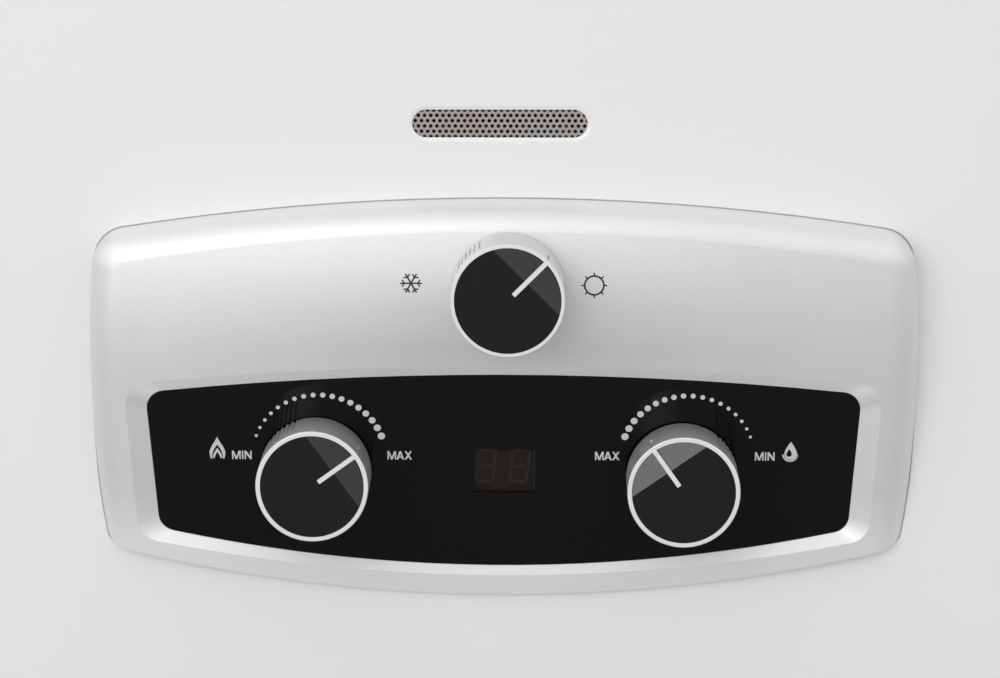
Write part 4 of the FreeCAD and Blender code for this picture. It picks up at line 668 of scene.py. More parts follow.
@dataclass(frozen=True)
class Brushed(Finish):
    """Brushed stainless sheet or rod."""

    way: Direction = Direction.ALONG_X
    colour: Colour = (0.64, 0.635, 0.62)
    rough: float = 0.27

    def paint(self, bench: Bench) -> bpy.types.Material:
        """Lay the finish down on a bench.

        Args:
            bench: Workplace of the material.

        Returns:
            The finished material.
        """
        hair = bench.noise(3200.0, 3.0, 0.7, self.way.value)
        smear = bench.noise(30.0, 3.0)
        tone = bench.blend(hair * 0.8 + smear * 0.2, shade(self.colour, 0.80), self.colour)
        bench.relief(hair, 0.012, 0.5)
        return bench.finish(tone, self.rough + hair * 0.12 + smear * 0.05, 1.0)


@dataclass(frozen=True)
class SoftGrip(Finish):
    """Matt black grip rubber."""

    def paint(self, bench: Bench) -> bpy.types.Material:
        """Lay the finish down on a bench.

        Args:
            bench: Workplace of the material.

        Returns:
            The finished material.
        """
        pores = bench.noise(1800.0, 4.0, 0.65)
        worn = bench.noise(70.0, 3.0)
        tone = bench.blend(worn, (0.018, 0.018, 0.019), (0.034, 0.033, 0.032))
        bench.relief(pores, 0.05, 0.6)
        return bench.finish(tone, 0.62 + worn * 0.2, 0.0, Specular_IOR_Level=0.35)


@dataclass(frozen=True)
class HeatedCopper(Finish):
    """Copper, tinted by heat towards the flames."""

    hot_mm: float = -345.0
    cool_mm: float = -230.0

    def paint(self, bench: Bench) -> bpy.types.Material:
        """Lay the finish down on a bench.

        Args:
            bench: Workplace of the material.

        Returns:
            The finished material.
        """
        _, _, z = bench.place()
        cloud = bench.noise(26.0, 4.0, 0.6)
        heat = (1.0 - z.ramp(self.hot_mm * MM, self.cool_mm * MM)) * (0.55 + cloud * 0.6)
        tone = bench.blend(cloud.ramp(0.3, 0.7), (0.70, 0.33, 0.20), (0.80, 0.42, 0.28))
        tone = bench.blend(heat.ramp(0.25, 0.6), tone, (0.46, 0.17, 0.13))
        tone = bench.blend(heat.ramp(0.65, 1.0), tone, (0.20, 0.12, 0.15))
        bench.relief(bench.noise(1300.0, 3.0), 0.01, 0.4)
        return bench.finish(tone, 0.26 + cloud * 0.22, 0.95)


@dataclass(frozen=True)
class TurnedBrass(Finish):
    """Forged and turned brass."""

    def paint(self, bench: Bench) -> bpy.types.Material:
        """Lay the finish down on a bench.

        Args:
            bench: Workplace of the material.

        Returns:
            The finished material.
        """
        rings = bench.noise(2600.0, 2.0, 0.6, Direction.ALONG_X.value)
        tarnish = bench.noise(85.0, 4.0, 0.6)
        tone = bench.blend(tarnish.ramp(0.4, 0.75), (0.74, 0.56, 0.27), (0.50, 0.36, 0.17))
        bench.relief(rings, 0.012, 0.4)
        return bench.finish(tone, 0.24 + tarnish * 0.2, 1.0)


@dataclass(frozen=True)
class BurnedSteel(Finish):
    """Stainless burner sheet with straw and blue heat colours."""

    top_mm: float = -362.0

    def paint(self, bench: Bench) -> bpy.types.Material:
        """Lay the finish down on a bench.

        Args:
            bench: Workplace of the material.

        Returns:
            The finished material.
        """
        _, _, z = bench.place()
        ripple = bench.noise(60.0, 3.0)
        heat = z.ramp((self.top_mm - 34.0) * MM, self.top_mm * MM) + ripple * 0.25 - 0.12
        tone = bench.blend(heat.ramp(0.25, 0.6), (0.50, 0.48, 0.45), (0.48, 0.33, 0.15))
        tone = bench.blend(heat.ramp(0.7, 1.0), tone, (0.15, 0.15, 0.24))
        bench.relief(bench.noise(2200.0, 3.0, 0.6, Direction.ALONG_Y.value), 0.012, 0.5)
        return bench.finish(tone, 0.34 + ripple * 0.15, 0.95)


@dataclass(frozen=True)
class DieCast(Finish):
    """Die-cast aluminium skin."""

    colour: Colour = (0.56, 0.57, 0.58)

    def paint(self, bench: Bench) -> bpy.types.Material:
        """Lay the finish down on a bench.

        Args:
            bench: Workplace of the material.

        Returns:
            The finished material.
        """
        skin = bench.noise(1500.0, 5.0, 0.7)
        flow = bench.noise(40.0, 4.0)
        tone = bench.blend(flow * 0.6 + skin * 0.4, shade(self.colour, 0.78), self.colour)
        bench.relief(skin, 0.04, 0.6)
        return bench.finish(tone, 0.46 + flow * 0.14, 0.85)


@dataclass(frozen=True)
class Glazed(Finish):
    """Glazed white ceramic."""

    def paint(self, bench: Bench) -> bpy.types.Material:
        """Lay the finish down on a bench.

        Args:
            bench: Workplace of the material.

        Returns:
            The finished material.
        """
        speck = bench.noise(1200.0, 2.0).ramp(0.66, 0.74)
        tone = bench.blend(speck, (0.86, 0.84, 0.79), (0.55, 0.50, 0.43))
        bench.relief(bench.noise(300.0, 2.0), 0.02, 0.3)
        return bench.finish(tone, 0.12 + speck * 0.2, 0.0, Coat_Weight=0.5)


@dataclass(frozen=True)
class WovenRubber(Finish):
    """Fabric-reinforced rubber sheet."""

    def paint(self, bench: Bench) -> bpy.types.Material:
        """Lay the finish down on a bench.

        Args:
            bench: Workplace of the material.

        Returns:
            The finished material.
        """
        _, y, z = bench.place()
        weave = ((y * 7000.0).wave() * (z * 7000.0).wave()) * 0.5 + 0.5
        tone = bench.blend(weave, (0.016, 0.016, 0.017), (0.042, 0.040, 0.038))
        bench.relief(weave, 0.08, 0.7)
        return bench.finish(tone, 0.7 + weave * 0.1, 0.0)


@dataclass(frozen=True)
class CellJacket(Finish):
    """Plain printed sleeve of a dry cell with bare metal ends."""

    low_mm: float = -544.0
    high_mm: float = -490.0

    def paint(self, bench: Bench) -> bpy.types.Material:
        """Lay the finish down on a bench.

        Args:
            bench: Workplace of the material.

        Returns:
            The finished material.
        """
        _, _, z = bench.place()
        scuff = bench.noise(500.0, 4.0, 0.6)
        sleeve = z.ramp((self.low_mm - 0.4) * MM, self.low_mm * MM)
        sleeve = sleeve * (1.0 - z.ramp(self.high_mm * MM, (self.high_mm + 0.4) * MM))
        band = z.ramp((self.high_mm - 16.0) * MM, (self.high_mm - 15.6) * MM)
        printed = bench.blend(band, (0.045, 0.048, 0.055), (0.50, 0.36, 0.16))
        tone = bench.blend(sleeve, (0.62, 0.62, 0.60), printed)
        bench.relief(scuff, 0.01, 0.3)
        return bench.finish(tone, 0.26 + scuff * 0.1, 1.0 - sleeve * 0.6)


@dataclass(frozen=True)
class KnobSilver(Finish):
    """Silver knob paint: spun side, brighter faced rim and pointer."""

    face_mm: float = -170.0
    side: Colour = (0.50, 0.50, 0.50)
    rim: Colour = (0.86, 0.86, 0.87)
    side_metal: float = 0.75

    def paint(self, bench: Bench) -> bpy.types.Material:
        """Lay the finish down on a bench.

        Args:
            bench: Workplace of the material.

        Returns:
            The finished material.
        """
        _, y, _ = bench.place()
        front = 1.0 - y.ramp((self.face_mm + 0.18) * MM, (self.face_mm + 0.42) * MM)
        _, facing, _ = bench.slope()
        flat = front * (0.0 - facing).ramp(0.60, 0.85)
        spun = bench.noise(2600.0, 3.0, 0.7, (0.05, 1.0, 0.05))
        drawn = bench.noise(1500.0, 2.0, 0.6, (1.0, 0.03, 1.0))
        tone = bench.blend(spun * 0.5 + drawn * 0.5, shade(self.side, 0.80), self.side)
        tone = bench.blend(flat, tone, self.rim)
        bench.relief(drawn, 0.015, 0.5)
        return bench.finish(tone, 0.36 + spun * 0.1 - flat * 0.08,
                            self.side_metal - flat * (self.side_metal - 0.2))


@dataclass(frozen=True)
class CapBlack(Finish):
    """Black knob face with a fine satin grain and a polished facet."""

    colour: Colour = (0.0050, 0.0046, 0.0045)
    polish: float = 0.95

    def paint(self, bench: Bench) -> bpy.types.Material:
        """Lay the finish down on a bench.

        Args:
            bench: Workplace of the material.

        Returns:
            The finished material.
        """
        _, facing, _ = bench.slope()
        ahead = 0.0 - facing
        facet = (ahead > 0.9) * (1.0 - ahead.ramp(0.982, 0.992))
        grain = bench.noise(2800.0, 3.0, 0.6)
        dust = bench.noise(1900.0, 1.0).ramp(0.74, 0.79)
        tone = bench.blend(grain, self.colour, shade(self.colour, 1.25))
        tone = bench.blend(dust * 0.10, tone, (0.30, 0.29, 0.28))
        bench.relief(grain, 0.008, 0.25)
        return bench.finish(tone, 0.15 + grain * 0.06, 0.0, Specular_IOR_Level=0.26,
                            Coat_Weight=facet * self.polish, Coat_Roughness=0.06)


@dataclass(frozen=True)
class Ink(Finish):
    """Screen-printed ink, and the plain skin of other small marks."""

    colour: Colour = (0.72, 0.72, 0.73)

    def paint(self, bench: Bench) -> bpy.types.Material:
        """Lay the finish down on a bench.

        Args:
            bench: Workplace of the material.

        Returns:
            The finished material.
        """
        mesh = bench.noise(5200.0, 2.0)
        tone = bench.blend(mesh.ramp(0.35, 0.65), shade(self.colour, 0.86), self.colour)
        bench.relief(mesh, 0.01, 0.4)
        return bench.finish(tone, 0.48 + mesh * 0.1, 0.0)


WHITE = PowderCoat("white_powder_coat")
ZINC = SpangledZinc("spangled_zinc")
PLATING = BrightPlating("bright_plating")
SILVER = SilverPaint("satin_silver_paint")
BLACK_PLASTIC = Moulded("black_moulding")
SMOKED = Moulded("smoked_display", (0.080, 0.061, 0.042), 0.45, 0.3)
STEEL_X = Brushed("stainless_along_x", Direction.ALONG_X)
STEEL_Y = Brushed("stainless_along_y", Direction.ALONG_Y)
STEEL_Z = Brushed("stainless_along_z", Direction.ALONG_Z)
COPPER = HeatedCopper("heated_copper")
BRASS = TurnedBrass("turned_brass")
CAST = DieCast("die_cast_skin")
CAP = CapBlack("cap_black_coat")
WHITE_INK = Ink("white_ink", (0.62, 0.62, 0.63))
DARK_INK = Ink("dark_ink", (0.016, 0.015, 0.015))
SEAT_SHADOW = Ink("seat_shadow", (0.36, 0.36, 0.36))
UNLIT_SEGMENTS = Ink("unlit_segments", (0.165, 0.140, 0.092))
# Pale colour painted as a highlight on the display block's right side and foot.
DISPLAY_EDGE_HIGHLIGHT = Ink("display_edge_highlight", (0.37, 0.255, 0.20))


def dress(node: str, finish: Finish) -> bpy.types.Object:
    """Give a carried-over solid its finish.

    Args:
        node: Name of the solid.
        finish: Finish to lay on it.

    Returns:
        The solid's object.
    """
    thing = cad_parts[node]
    thing.data.materials.clear()
    thing.data.materials.append(finish.material())
    LOG.info("dressed %s in %s", node, finish.name)
    return thing


# ---- modelling helpers --------------------------------------------------------
def clear_selection() -> None:
    """Leave nothing selected."""
    if bpy.context.object is not None and bpy.context.object.mode != "OBJECT":
        bpy.ops.object.mode_set(mode="OBJECT")
    bpy.ops.object.select_all(action="DESELECT")


def pick(*things: bpy.types.Object) -> None:
    """Select objects alone and make the first one active.

    Args:
        things: The objects.
    """
    clear_selection()
    for thing in things:
        thing.select_set(True)
    bpy.context.view_layer.objects.active = things[0]


@contextmanager
def editing(thing: bpy.types.Object) -> Iterator[None]:
    """Edit one object's mesh, with all of it selected at first.

    Args:
        thing: The object.

    Returns:
        A block, and edit mode lasts as long as it.
    """
    pick(thing)
    bpy.ops.object.mode_set(mode="EDIT")
    bpy.ops.mesh.select_all(action="SELECT")
    yield
    bpy.ops.object.mode_set(mode="OBJECT")


def own_copy(source: bpy.types.Object) -> bpy.types.Object:
    """Copy an object together with its mesh.

    Args:
        source: The object.

    Returns:
        The copy, in the scene.
    """
    thing = source.copy()
    thing.data = source.data.copy()
    thing.parent = None
    bpy.context.scene.collection.objects.link(thing)
    return thing


def copied_solid(node: str) -> bpy.types.Object:
    """Copy a solid and merge the loose triangles of the copy.

    Args:
        node: Name of the solid.

    Returns:
        The copy.
    """
    thing = own_copy(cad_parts[node])
    with editing(thing):
        bpy.ops.mesh.remove_doubles(threshold=MERGE_SOLID)
    return thing


def bisect(place: Sequence[float], way: Sequence[float], **options: bool) -> None:
    """Cut the mesh in edit mode by a plane, all of it.

    Args:
        place: A point of the plane, in metres.
        way: Normal of the plane.
        options: What to clear or fill.
    """
    bpy.ops.mesh.select_all(action="SELECT")
    bpy.ops.mesh.bisect(plane_co=tuple(place), plane_no=tuple(way), threshold=CUT_SLACK, **options)


def poly_curve(outlines: Sequence[Outline], place: Callable[[float, float], Sequence[float]],
               flat: bool) -> bpy.types.Object:
    """Add a curve of straight runs.

    Args:
        outlines: Corners in millimetres.
        place: Where a corner goes, in millimetres.
        flat: Whether the runs are closed outlines in a plane, and not open lines in space.

    Returns:
        The curve's object.
    """
    clear_selection()
    bpy.ops.object.add(type="CURVE")
    thing = bpy.context.object
    thing.data.dimensions = "2D" if flat else "3D"
    for outline in outlines:
        spline = thing.data.splines.new("POLY")
        spline.points.add(len(outline) - 1)
        for point, corner in zip(spline.points, outline):
            point.co = (*(value * MM for value in place(*corner)), 1.0)
        spline.use_cyclic_u = flat
    return thing


def settle(thing: bpy.types.Object, placement: Matrix) -> None:
    """Place an object and write its place into its mesh.

    Args:
        thing: The object.
        placement: Where its own frame goes.
    """
    pick(thing)
    thing.matrix_world = placement @ thing.matrix_world
    bpy.ops.object.transform_apply(location=True, rotation=True, scale=True)


def hand_over(thing: bpy.types.Object, name: str, body: str,
              finish: Finish) -> bpy.types.Object:
    """Name a finished piece, dress it and let it ride on its body.

    Args:
        thing: The piece.
        name: Name of the piece.
        body: Body that it moves with.
        finish: Finish of the piece.

    Returns:
        The piece.
    """
    thing.name = name
    thing.data.materials.clear()
    thing.data.materials.append(finish.material())
    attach(thing, body)
    LOG.info("made %s on %s", name, body)
    return thing


def circle(x: float, y: float, radius: float, count: int = 28) -> Outline:
    """Round outline.

    Args:
        x: Centre, to the right.
        y: Centre, upwards.
        radius: Radius.
        count: Corners.

    Returns:
        The outline.
    """
    return [(x + radius * math.cos(2 * math.pi * k / count),
             y + radius * math.sin(2 * math.pi * k / count)) for k in range(count)]


def turned(outline: Outline, degrees: float) -> Outline:
    """Turn an outline anticlockwise about the origin."""
    c, s = math.cos(math.radians(degrees)), math.sin(math.radians(degrees))
    return [(x * c - y * s, x * s + y * c) for x, y in outline]


def stencil(outlines: Sequence[Outline], thickness_mm: float = 0.05) -> bpy.types.Object:
    """Cut a thin flat print from closed outlines in millimetres; inner outlines are holes.

    Args:
        outlines: Closed outlines.
        thickness_mm: Thickness of the print.

    Returns:
        A mesh object lying in its own XY plane.
    """
    thing = poly_curve(outlines, lambda x, y: (x, y, 0.0), True)
    thing.data.fill_mode = "BOTH"
    thing.data.extrude = thickness_mm * MM / 2
    bpy.ops.object.convert(target="MESH")
    return tidy_print(bpy.context.object)


def tidy_print(thing: bpy.types.Object) -> bpy.types.Object:
    """Merge the doubles of a print and turn its faces outwards.

    Args:
        thing: The print.

    Returns:
        The print.
    """
    with editing(thing):
        bpy.ops.mesh.remove_doubles(threshold=MERGE_PRINT)
        bpy.ops.mesh.normals_make_consistent(inside=False)
    return thing


def glyph(letter: str) -> Tuple[float, List[Outline]]:
    """Plain capital, one unit tall.

    Args:
        letter: One of M, I, N, A and X.

    Returns:
        Its width and its closed outlines.
    """
    t = 0.155
    if letter == "I":
        return t, [[(0, 0), (t, 0), (t, 1), (0, 1)]]
    if letter == "M":
        w = 0.96
        c = w / 2
        return w, [[(0, 0), (t, 0), (t, 0.66), (c - 0.085, 0), (c + 0.085, 0), (w - t, 0.66),
                    (w - t, 0), (w, 0), (w, 1), (w - 1.35 * t, 1), (c, 0.30), (1.35 * t, 1),
                    (0, 1)]]
    if letter == "N":
        w = 0.78
        return w, [[(0, 0), (t, 0), (t, 0.65), (w - 1.2 * t, 0), (w, 0), (w, 1), (w - t, 1),
                    (w - t, 0.35), (1.2 * t, 1), (0, 1)]]
    if letter == "A":
        w = 0.86
        return w, [[(0, 0), (0.20, 0), (0.272, 0.21), (w - 0.272, 0.21), (w - 0.20, 0), (w, 0),
                    (w / 2 + 0.10, 1), (w / 2 - 0.10, 1)],
                   [(0.325, 0.36), (w - 0.325, 0.36), (w / 2, 0.68)]]
    w = 0.84
    return w, [[(0, 0), (0.215, 0), (0.42, 0.335), (0.625, 0), (w, 0), (0.53, 0.51), (w - 0.02, 1),
                (0.615, 1), (0.42, 0.68), (0.225, 1), (0.02, 1), (0.31, 0.51)]]


def lettering(word: str, height_mm: float, gap: float = 0.14,
              tight: float = 0.03) -> bpy.types.Object:
    """Set a plain word, centred, in its own XY plane.

    Args:
        word: The word, of the letters that glyph knows.
        height_mm: Height of the capitals.
        gap: Space between upright letters, as a share of the height.
        tight: Space beside a slanted letter, as a share of the height.

    Returns:
        The word as a mesh.
    """
    outlines: List[Outline] = []
    edge = 0.0
    for index, letter in enumerate(word):
        width, shapes = glyph(letter)
        outlines += [[(x + edge, y) for x, y in shape] for shape in shapes]
        slanted = letter in "AX" or word[index + 1:index + 2] in ("A", "X")
        edge += width + (tight if slanted else gap)
    middle = (edge - (tight if word[-1] in "AX" else gap)) / 2
    return stencil([[((x - middle) * height_mm, (y - 0.5) * height_mm) for x, y in shape]
                    for shape in outlines])


def merge(things: Sequence[bpy.types.Object]) -> bpy.types.Object:
    """Join objects into the first one.

    Args:
        things: The objects.

    Returns:
        The joined object.
    """
    pick(*things)
    bpy.ops.object.join()
    return bpy.context.object


# ---- control panel ------------------------------------------------------------
@dataclass
class ControlPanel:
    """Silver bezel, black dial panel, marks and display."""

    tilt: float = 9.5
    front: float = -140.0
    insert_out: float = 5.803
    dial_z: float = -467.9
    season_z: float = -405.2
    mark_x: float = 59.6
    mark_up: float = 5.3
    word_up: float = 5.78
    dots: int = 18
    dot_arc: float = 21.5
    dot_span: float = 140.5
    dot_small: float = 0.50
    dot_large: float = 1.20
    word_height: float = 2.93
    seat_line_mm: float = 0.42
    seat_back_mm: float = 0.3
    seat_thick_mm: float = 0.03
    seat_gap_mm: float = 0.04
    crown_ink_mm: float = 0.02
    crown_ahead_mm: float = 40.0
    digit_centres: Tuple[float, float] = (-5.7, 5.3)
    display_lift: float = -2.25
    display_ink: float = 0.04
    words: Tuple[Tuple[str, str, float], ...] = (
        ("gas_min_word", "MIN", -84.7), ("gas_max_word", "MAX", -33.5),
        ("water_max_word", "MAX", 33.7), ("water_min_word", "MIN", 84.6))
    flame_at: Tuple[float, float] = (-92.6, 8.3)
    drop_at: Tuple[float, float] = (92.8, 7.4)
    snowflake_at: Tuple[float, float] = (-29.15, 1.65)
    sun_at: Tuple[float, float] = (29.15, 1.1)

    def panel(self, x: float, up: float, lift: float) -> Matrix:
        """Frame of the dial panel's face, X to the right and Y up its slope.

        Args:
            x: Place to the right.
            up: Place up the slope from the dial axes.
            lift: Height over the face.

        Returns:
            The frame in metres.
        """
        a = math.radians(self.tilt)
        normal = Vector((0.0, -math.cos(a), -math.sin(a)))
        rise = Vector((0.0, -math.sin(a), math.cos(a)))
        origin = Vector((x, self.front - self.insert_out, self.dial_z)) + rise * up + normal * lift
        turn = Matrix((Vector((1.0, 0.0, 0.0)), rise, normal)).transposed()
        return Matrix.Translation(origin * MM) @ turn.to_4x4()

    def on_panel(self, thing: bpy.types.Object, x: float, up: float,
                 lift: float = 0.035) -> bpy.types.Object:
        """Lay a print on the dial panel and return it."""
        settle(thing, self.panel(x, up, lift))
        return thing

    def on_crown(self, thing: bpy.types.Object, x: float, z: float) -> bpy.types.Object:
        """Lay a print on the crowned bezel, following its curve.

        Args:
            thing: The print.
            x: Place to the right.
            z: Height.

        Returns:
            The print.
        """
        upright = Matrix.Rotation(math.radians(90.0), 4, "X")
        start = Vector((x, self.front - self.crown_ahead_mm, z))
        settle(thing, Matrix.Translation(start * MM) @ upright)
        with editing(thing):
            bpy.ops.mesh.subdivide(number_cuts=2)
        wrap = thing.modifiers.new("wrap", "SHRINKWRAP")
        wrap.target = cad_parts["panel_bezel"]
        wrap.wrap_method = "PROJECT"
        wrap.use_project_y = True
        wrap.use_negative_direction = False
        wrap.use_positive_direction = True
        wrap.offset = self.crown_ink_mm * MM
        bpy.ops.object.modifier_apply(modifier="wrap")
        with editing(thing):
            bpy.ops.mesh.remove_doubles(threshold=MERGE_PRINT)
            bpy.ops.mesh.extrude_region_move(
                TRANSFORM_OT_translate={"value": (0.0, -self.crown_ink_mm * MM, 0.0)})
        return tidy_print(thing)

    def dot_row(self, side: Side) -> bpy.types.Object:
        """Arc of dots that grow towards the MAX end.

        Args:
            side: End where the dots are largest.

        Returns:
            The row in its own plane, centred on its arc.
        """
        outlines = []
        for index in range(self.dots):
            share = index / (self.dots - 1)
            angle = math.radians(-self.dot_span / 2 + self.dot_span * share)
            growth = share if side is Side.RIGHT else 1.0 - share
            radius = self.dot_small + (self.dot_large - self.dot_small) * growth
            outlines.append(circle(self.dot_arc * math.sin(angle), self.dot_arc * math.cos(angle),
                                   radius, 20))
        return stencil(outlines)

    def flame(self) -> bpy.types.Object:
        """Plain flame mark: a pointed arch over a smaller one, both open at the foot.

        Returns:
            The mark in its own plane.
        """
        def arch(right: Outline) -> Outline:
            """Whole arch from its right half, tip first."""
            return [(-x, y) for x, y in reversed(right[1:])] + right

        outer = arch([(0.0, 3.85), (0.36, 3.0), (0.90, 2.0), (1.52, 1.0), (2.08, 0.0), (2.46, -0.9),
                      (2.57, -1.7), (2.48, -2.6), (2.22, -3.82)])
        inner = arch([(0.0, 1.12), (0.38, 0.55), (0.82, -0.1), (1.26, -0.95), (1.55, -1.8),
                      (1.72, -2.7), (1.70, -3.82)])
        small = arch([(0.0, -0.02), (0.30, -0.55), (0.66, -1.1), (1.02, -1.7), (1.30, -2.35),
                      (1.45, -3.0), (1.44, -3.66)])
        heart = arch([(0.0, -1.45), (0.30, -1.95), (0.62, -2.6), (0.84, -3.1), (0.94, -3.66)])
        return stencil([outer + list(reversed(inner)), small + list(reversed(heart))])

    def drop(self) -> bpy.types.Object:
        """Plain water drop with a dark heart over a thin crescent.

        Returns:
            The mark in its own plane.
        """
        def tear(size: float, x: float, low: float, tip: float) -> Outline:
            """Draw a drop with its point upwards.

            Args:
                size: Radius of its bowl.
                x: Middle of the bowl, to the right.
                low: Middle of the bowl, upwards.
                tip: Height of the point.

            Returns:
                The outline.
            """
            bowl = [(x + size * math.cos(math.radians(a)), low + size * math.sin(math.radians(a)))
                    for a in range(-195, 16, 10)]
            flank = [(size * 0.86, 0.30), (size * 0.56, 0.60), (size * 0.22, 0.86)]
            right = [(x + across, low + (tip - low) * share) for across, share in flank]
            left = [(x - across, low + (tip - low) * share) for across, share in reversed(flank)]
            return bowl + right + [(x, tip)] + left

        rim = [(2.55 * math.cos(math.radians(a)), -0.93 + 2.57 * math.sin(math.radians(a)))
               for a in range(-184, 5, 8)]
        rim += [(0.13 + 2.24 * math.cos(math.radians(a)), -0.78 + 2.24 * math.sin(math.radians(a)))
                for a in range(-4, -178, -8)]
        return stencil([tear(2.05, 0.15, -0.80, 3.52), tear(0.88, -0.35, -0.84, 0.95), rim])

    def snowflake(self) -> bpy.types.Object:
        """Six arms, each with one pair of twigs.

        Returns:
            The mark in its own plane.
        """
        w, fork, tip = 0.25, 2.02, 3.5
        wedge = w / math.tan(math.radians(30.0))
        half: Outline = [(w, wedge), (w, fork), (1.26, fork + 0.66), (0.93, fork + 1.02),
                         (w, fork + 0.50), (w, tip)]
        arm = [(0.0, 0.0)] + half + [(-x, y) for x, y in reversed(half)]
        return merge([stencil([turned(arm, 30.0 + 60.0 * k)], 0.0) for k in range(6)])

    def sun(self) -> bpy.types.Object:
        """Ring with eight short rays.

        Returns:
            The mark in its own plane.
        """
        ray = [(-0.26, 3.2), (0.26, 3.2), (0.18, 4.15), (-0.18, 4.15)]
        parts = [stencil([circle(0, 0, 3.32, 48), circle(0, 0, 2.76, 48)], 0.0)]
        parts += [stencil([turned(ray, 45.0 * k)], 0.0) for k in range(8)]
        return merge(parts)

    def digits(self) -> bpy.types.Object:
        """Two slanted seven-segment digits, unlit.

        Returns:
            The digits in their own plane.
        """
        w, h, t, lean, joint, rise = 5.5, 10.9, 0.95, 0.10, 0.15, 1.2

        def bar(x0: float, y0: float, x1: float, y1: float) -> Outline:
            """Draw a six-cornered segment between two points.

            Args:
                x0: First point, to the right.
                y0: First point, upwards.
                x1: Second point, to the right.
                y1: Second point, upwards.

            Returns:
                The outline.
            """
            dx, dy = x1 - x0, y1 - y0
            n = math.hypot(dx, dy)
            ux, uy, r = dx / n, dy / n, t / 2
            ax, ay, bx, by = x0 + ux * joint, y0 + uy * joint, x1 - ux * joint, y1 - uy * joint
            return [(ax, ay), (ax + (ux - uy) * r, ay + (uy + ux) * r),
                    (bx + (-ux - uy) * r, by + (-uy + ux) * r), (bx, by),
                    (bx + (-ux + uy) * r, by + (-uy - ux) * r),
                    (ax + (ux + uy) * r, ay + (uy - ux) * r)]

        outlines: List[Outline] = []
        for centre in self.digit_centres:
            left, right, low, high = -w / 2, w / 2, -h / 2, h / 2
            for segment in ((left, high, right, high), (left, 0, right, 0), (left, low, right, low),
                            (left, 0, left, high), (right, 0, right, high),
                            (left, low, left, 0), (right, low, right, 0)):
                outlines.append([(x + y * lean + centre, y + rise) for x, y in bar(*segment)])
        return stencil(outlines, self.display_ink)

    def display_edge(self) -> bpy.types.Object:
        """Painted highlight along the right side and the foot of the display block.

        Returns:
            The edge in its own plane.
        """
        half, low, high, t = 10.2, -7.88, 7.4, 0.28
        return stencil([[(-half, low), (half, low), (half, high), (half - t, high),
                         (half - t, low + t), (-half, low + t)]], self.display_ink)

    def seat_line(self) -> bpy.types.Object:
        """Thin line of painted shadow where the bezel's rim meets the casing.

        Returns:
            A flat band round the rim, lying on the casing.
        """
        low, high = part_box("panel_bezel")
        cut = copied_solid("panel_bezel")
        with editing(cut):
            bisect((0.0, (self.front - self.seat_back_mm) * MM, 0.0), (0.0, 1.0, 0.0),
                   clear_inner=True, clear_outer=True)
            bpy.ops.mesh.separate(type="LOOSE")
        loops = sorted(bpy.context.selected_objects, key=lambda loop: loop.dimensions.x)
        rim = loops.pop()
        if loops:
            pick(*loops)
            bpy.ops.object.delete()
        margin = 2 * self.seat_line_mm * MM
        grow = (1.0 + margin / (high.x - low.x), 1.0, 1.0 + margin / (high.z - low.z))
        with editing(rim):
            back = (self.seat_back_mm - self.seat_gap_mm) * MM
            bpy.ops.transform.translate(value=(0.0, back, 0.0))
            bpy.ops.mesh.extrude_region_move()
            bpy.ops.transform.resize(value=grow, center_override=tuple((low + high) / 2))
            bpy.ops.mesh.select_all(action="SELECT")
            bpy.ops.mesh.extrude_region_move(
                TRANSFORM_OT_translate={"value": (0.0, self.seat_thick_mm * MM, 0.0)})
        return tidy_print(rim)

    def build(self) -> None:
        """Dress the panel's solids and print its marks."""
        dress("panel_bezel", SILVER)
        dress("panel_insert", GlossPanel("gloss_black_panel"))
        dress("display_module", SMOKED)
        dress("display_board", CircuitBoard("green_board"))
        dress("bezel_screws", PLATING)
        # Painted shadow: a grey band on the casing round the bezel's rim stands for the shade in the
        # seam.
        hand_over(self.seat_line(), "bezel_seat_shadow", "casing", SEAT_SHADOW)
        white = [("gas_dots", self.dot_row(Side.RIGHT), -self.mark_x, self.mark_up),
                 ("water_dots", self.dot_row(Side.LEFT), self.mark_x, self.mark_up)]
        white += [(name, lettering(word, self.word_height), x, self.word_up)
                  for name, word, x in self.words]
        white += [("flame_mark", self.flame(), *self.flame_at),
                  ("drop_mark", self.drop(), *self.drop_at)]
        for name, mark, x, up in white:
            hand_over(self.on_panel(mark, x, up), name, "casing", WHITE_INK)
        for name, mark, (x, up) in (("snowflake_mark", self.snowflake(), self.snowflake_at),
                                    ("sun_mark", self.sun(), self.sun_at)):
            hand_over(self.on_crown(mark, x, self.season_z + up), name, "casing",
                      DARK_INK)
        # The display edge is a painted highlight; the digits keep the unlit segments' own colour.
        for name, mark, finish in (("display_digits", self.digits(), UNLIT_SEGMENTS),
                                   ("display_edge", self.display_edge(), DISPLAY_EDGE_HIGHLIGHT)):
            hand_over(self.on_panel(mark, 0.0, 0.0, self.display_lift), name, "casing",
                      finish)


@dataclass
class Knob:
    """One dial: silver body, black cap and brass spindle."""

    prefix: str
    side: Colour
    rim: Colour = (0.76, 0.76, 0.77)
    side_metal: float = 0.75

    def build(self) -> None:
        """Dress the three solids of the dial."""
        low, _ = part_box(self.prefix + "_knob")
        dress(self.prefix + "_knob", KnobSilver(self.prefix + "_knob_silver", low.y / MM,
                                                self.side, self.rim, self.side_metal))
        dress(self.prefix + "_knob_cap", CAP)
        dress(self.prefix + "_spindle", BRASS)


@dataclass
class Casing:
    """Sheet shell, flame window and screws."""

    def build(self) -> None:
        """Dress the shell's solids."""
        dress("front_cover", WHITE)
        dress("back_plate", ZINC)
        dress("bottom_plate", ZINC)
        dress("cover_screws", PLATING)
        dress("inspection_screen", FlamePlate("flame_plate"))


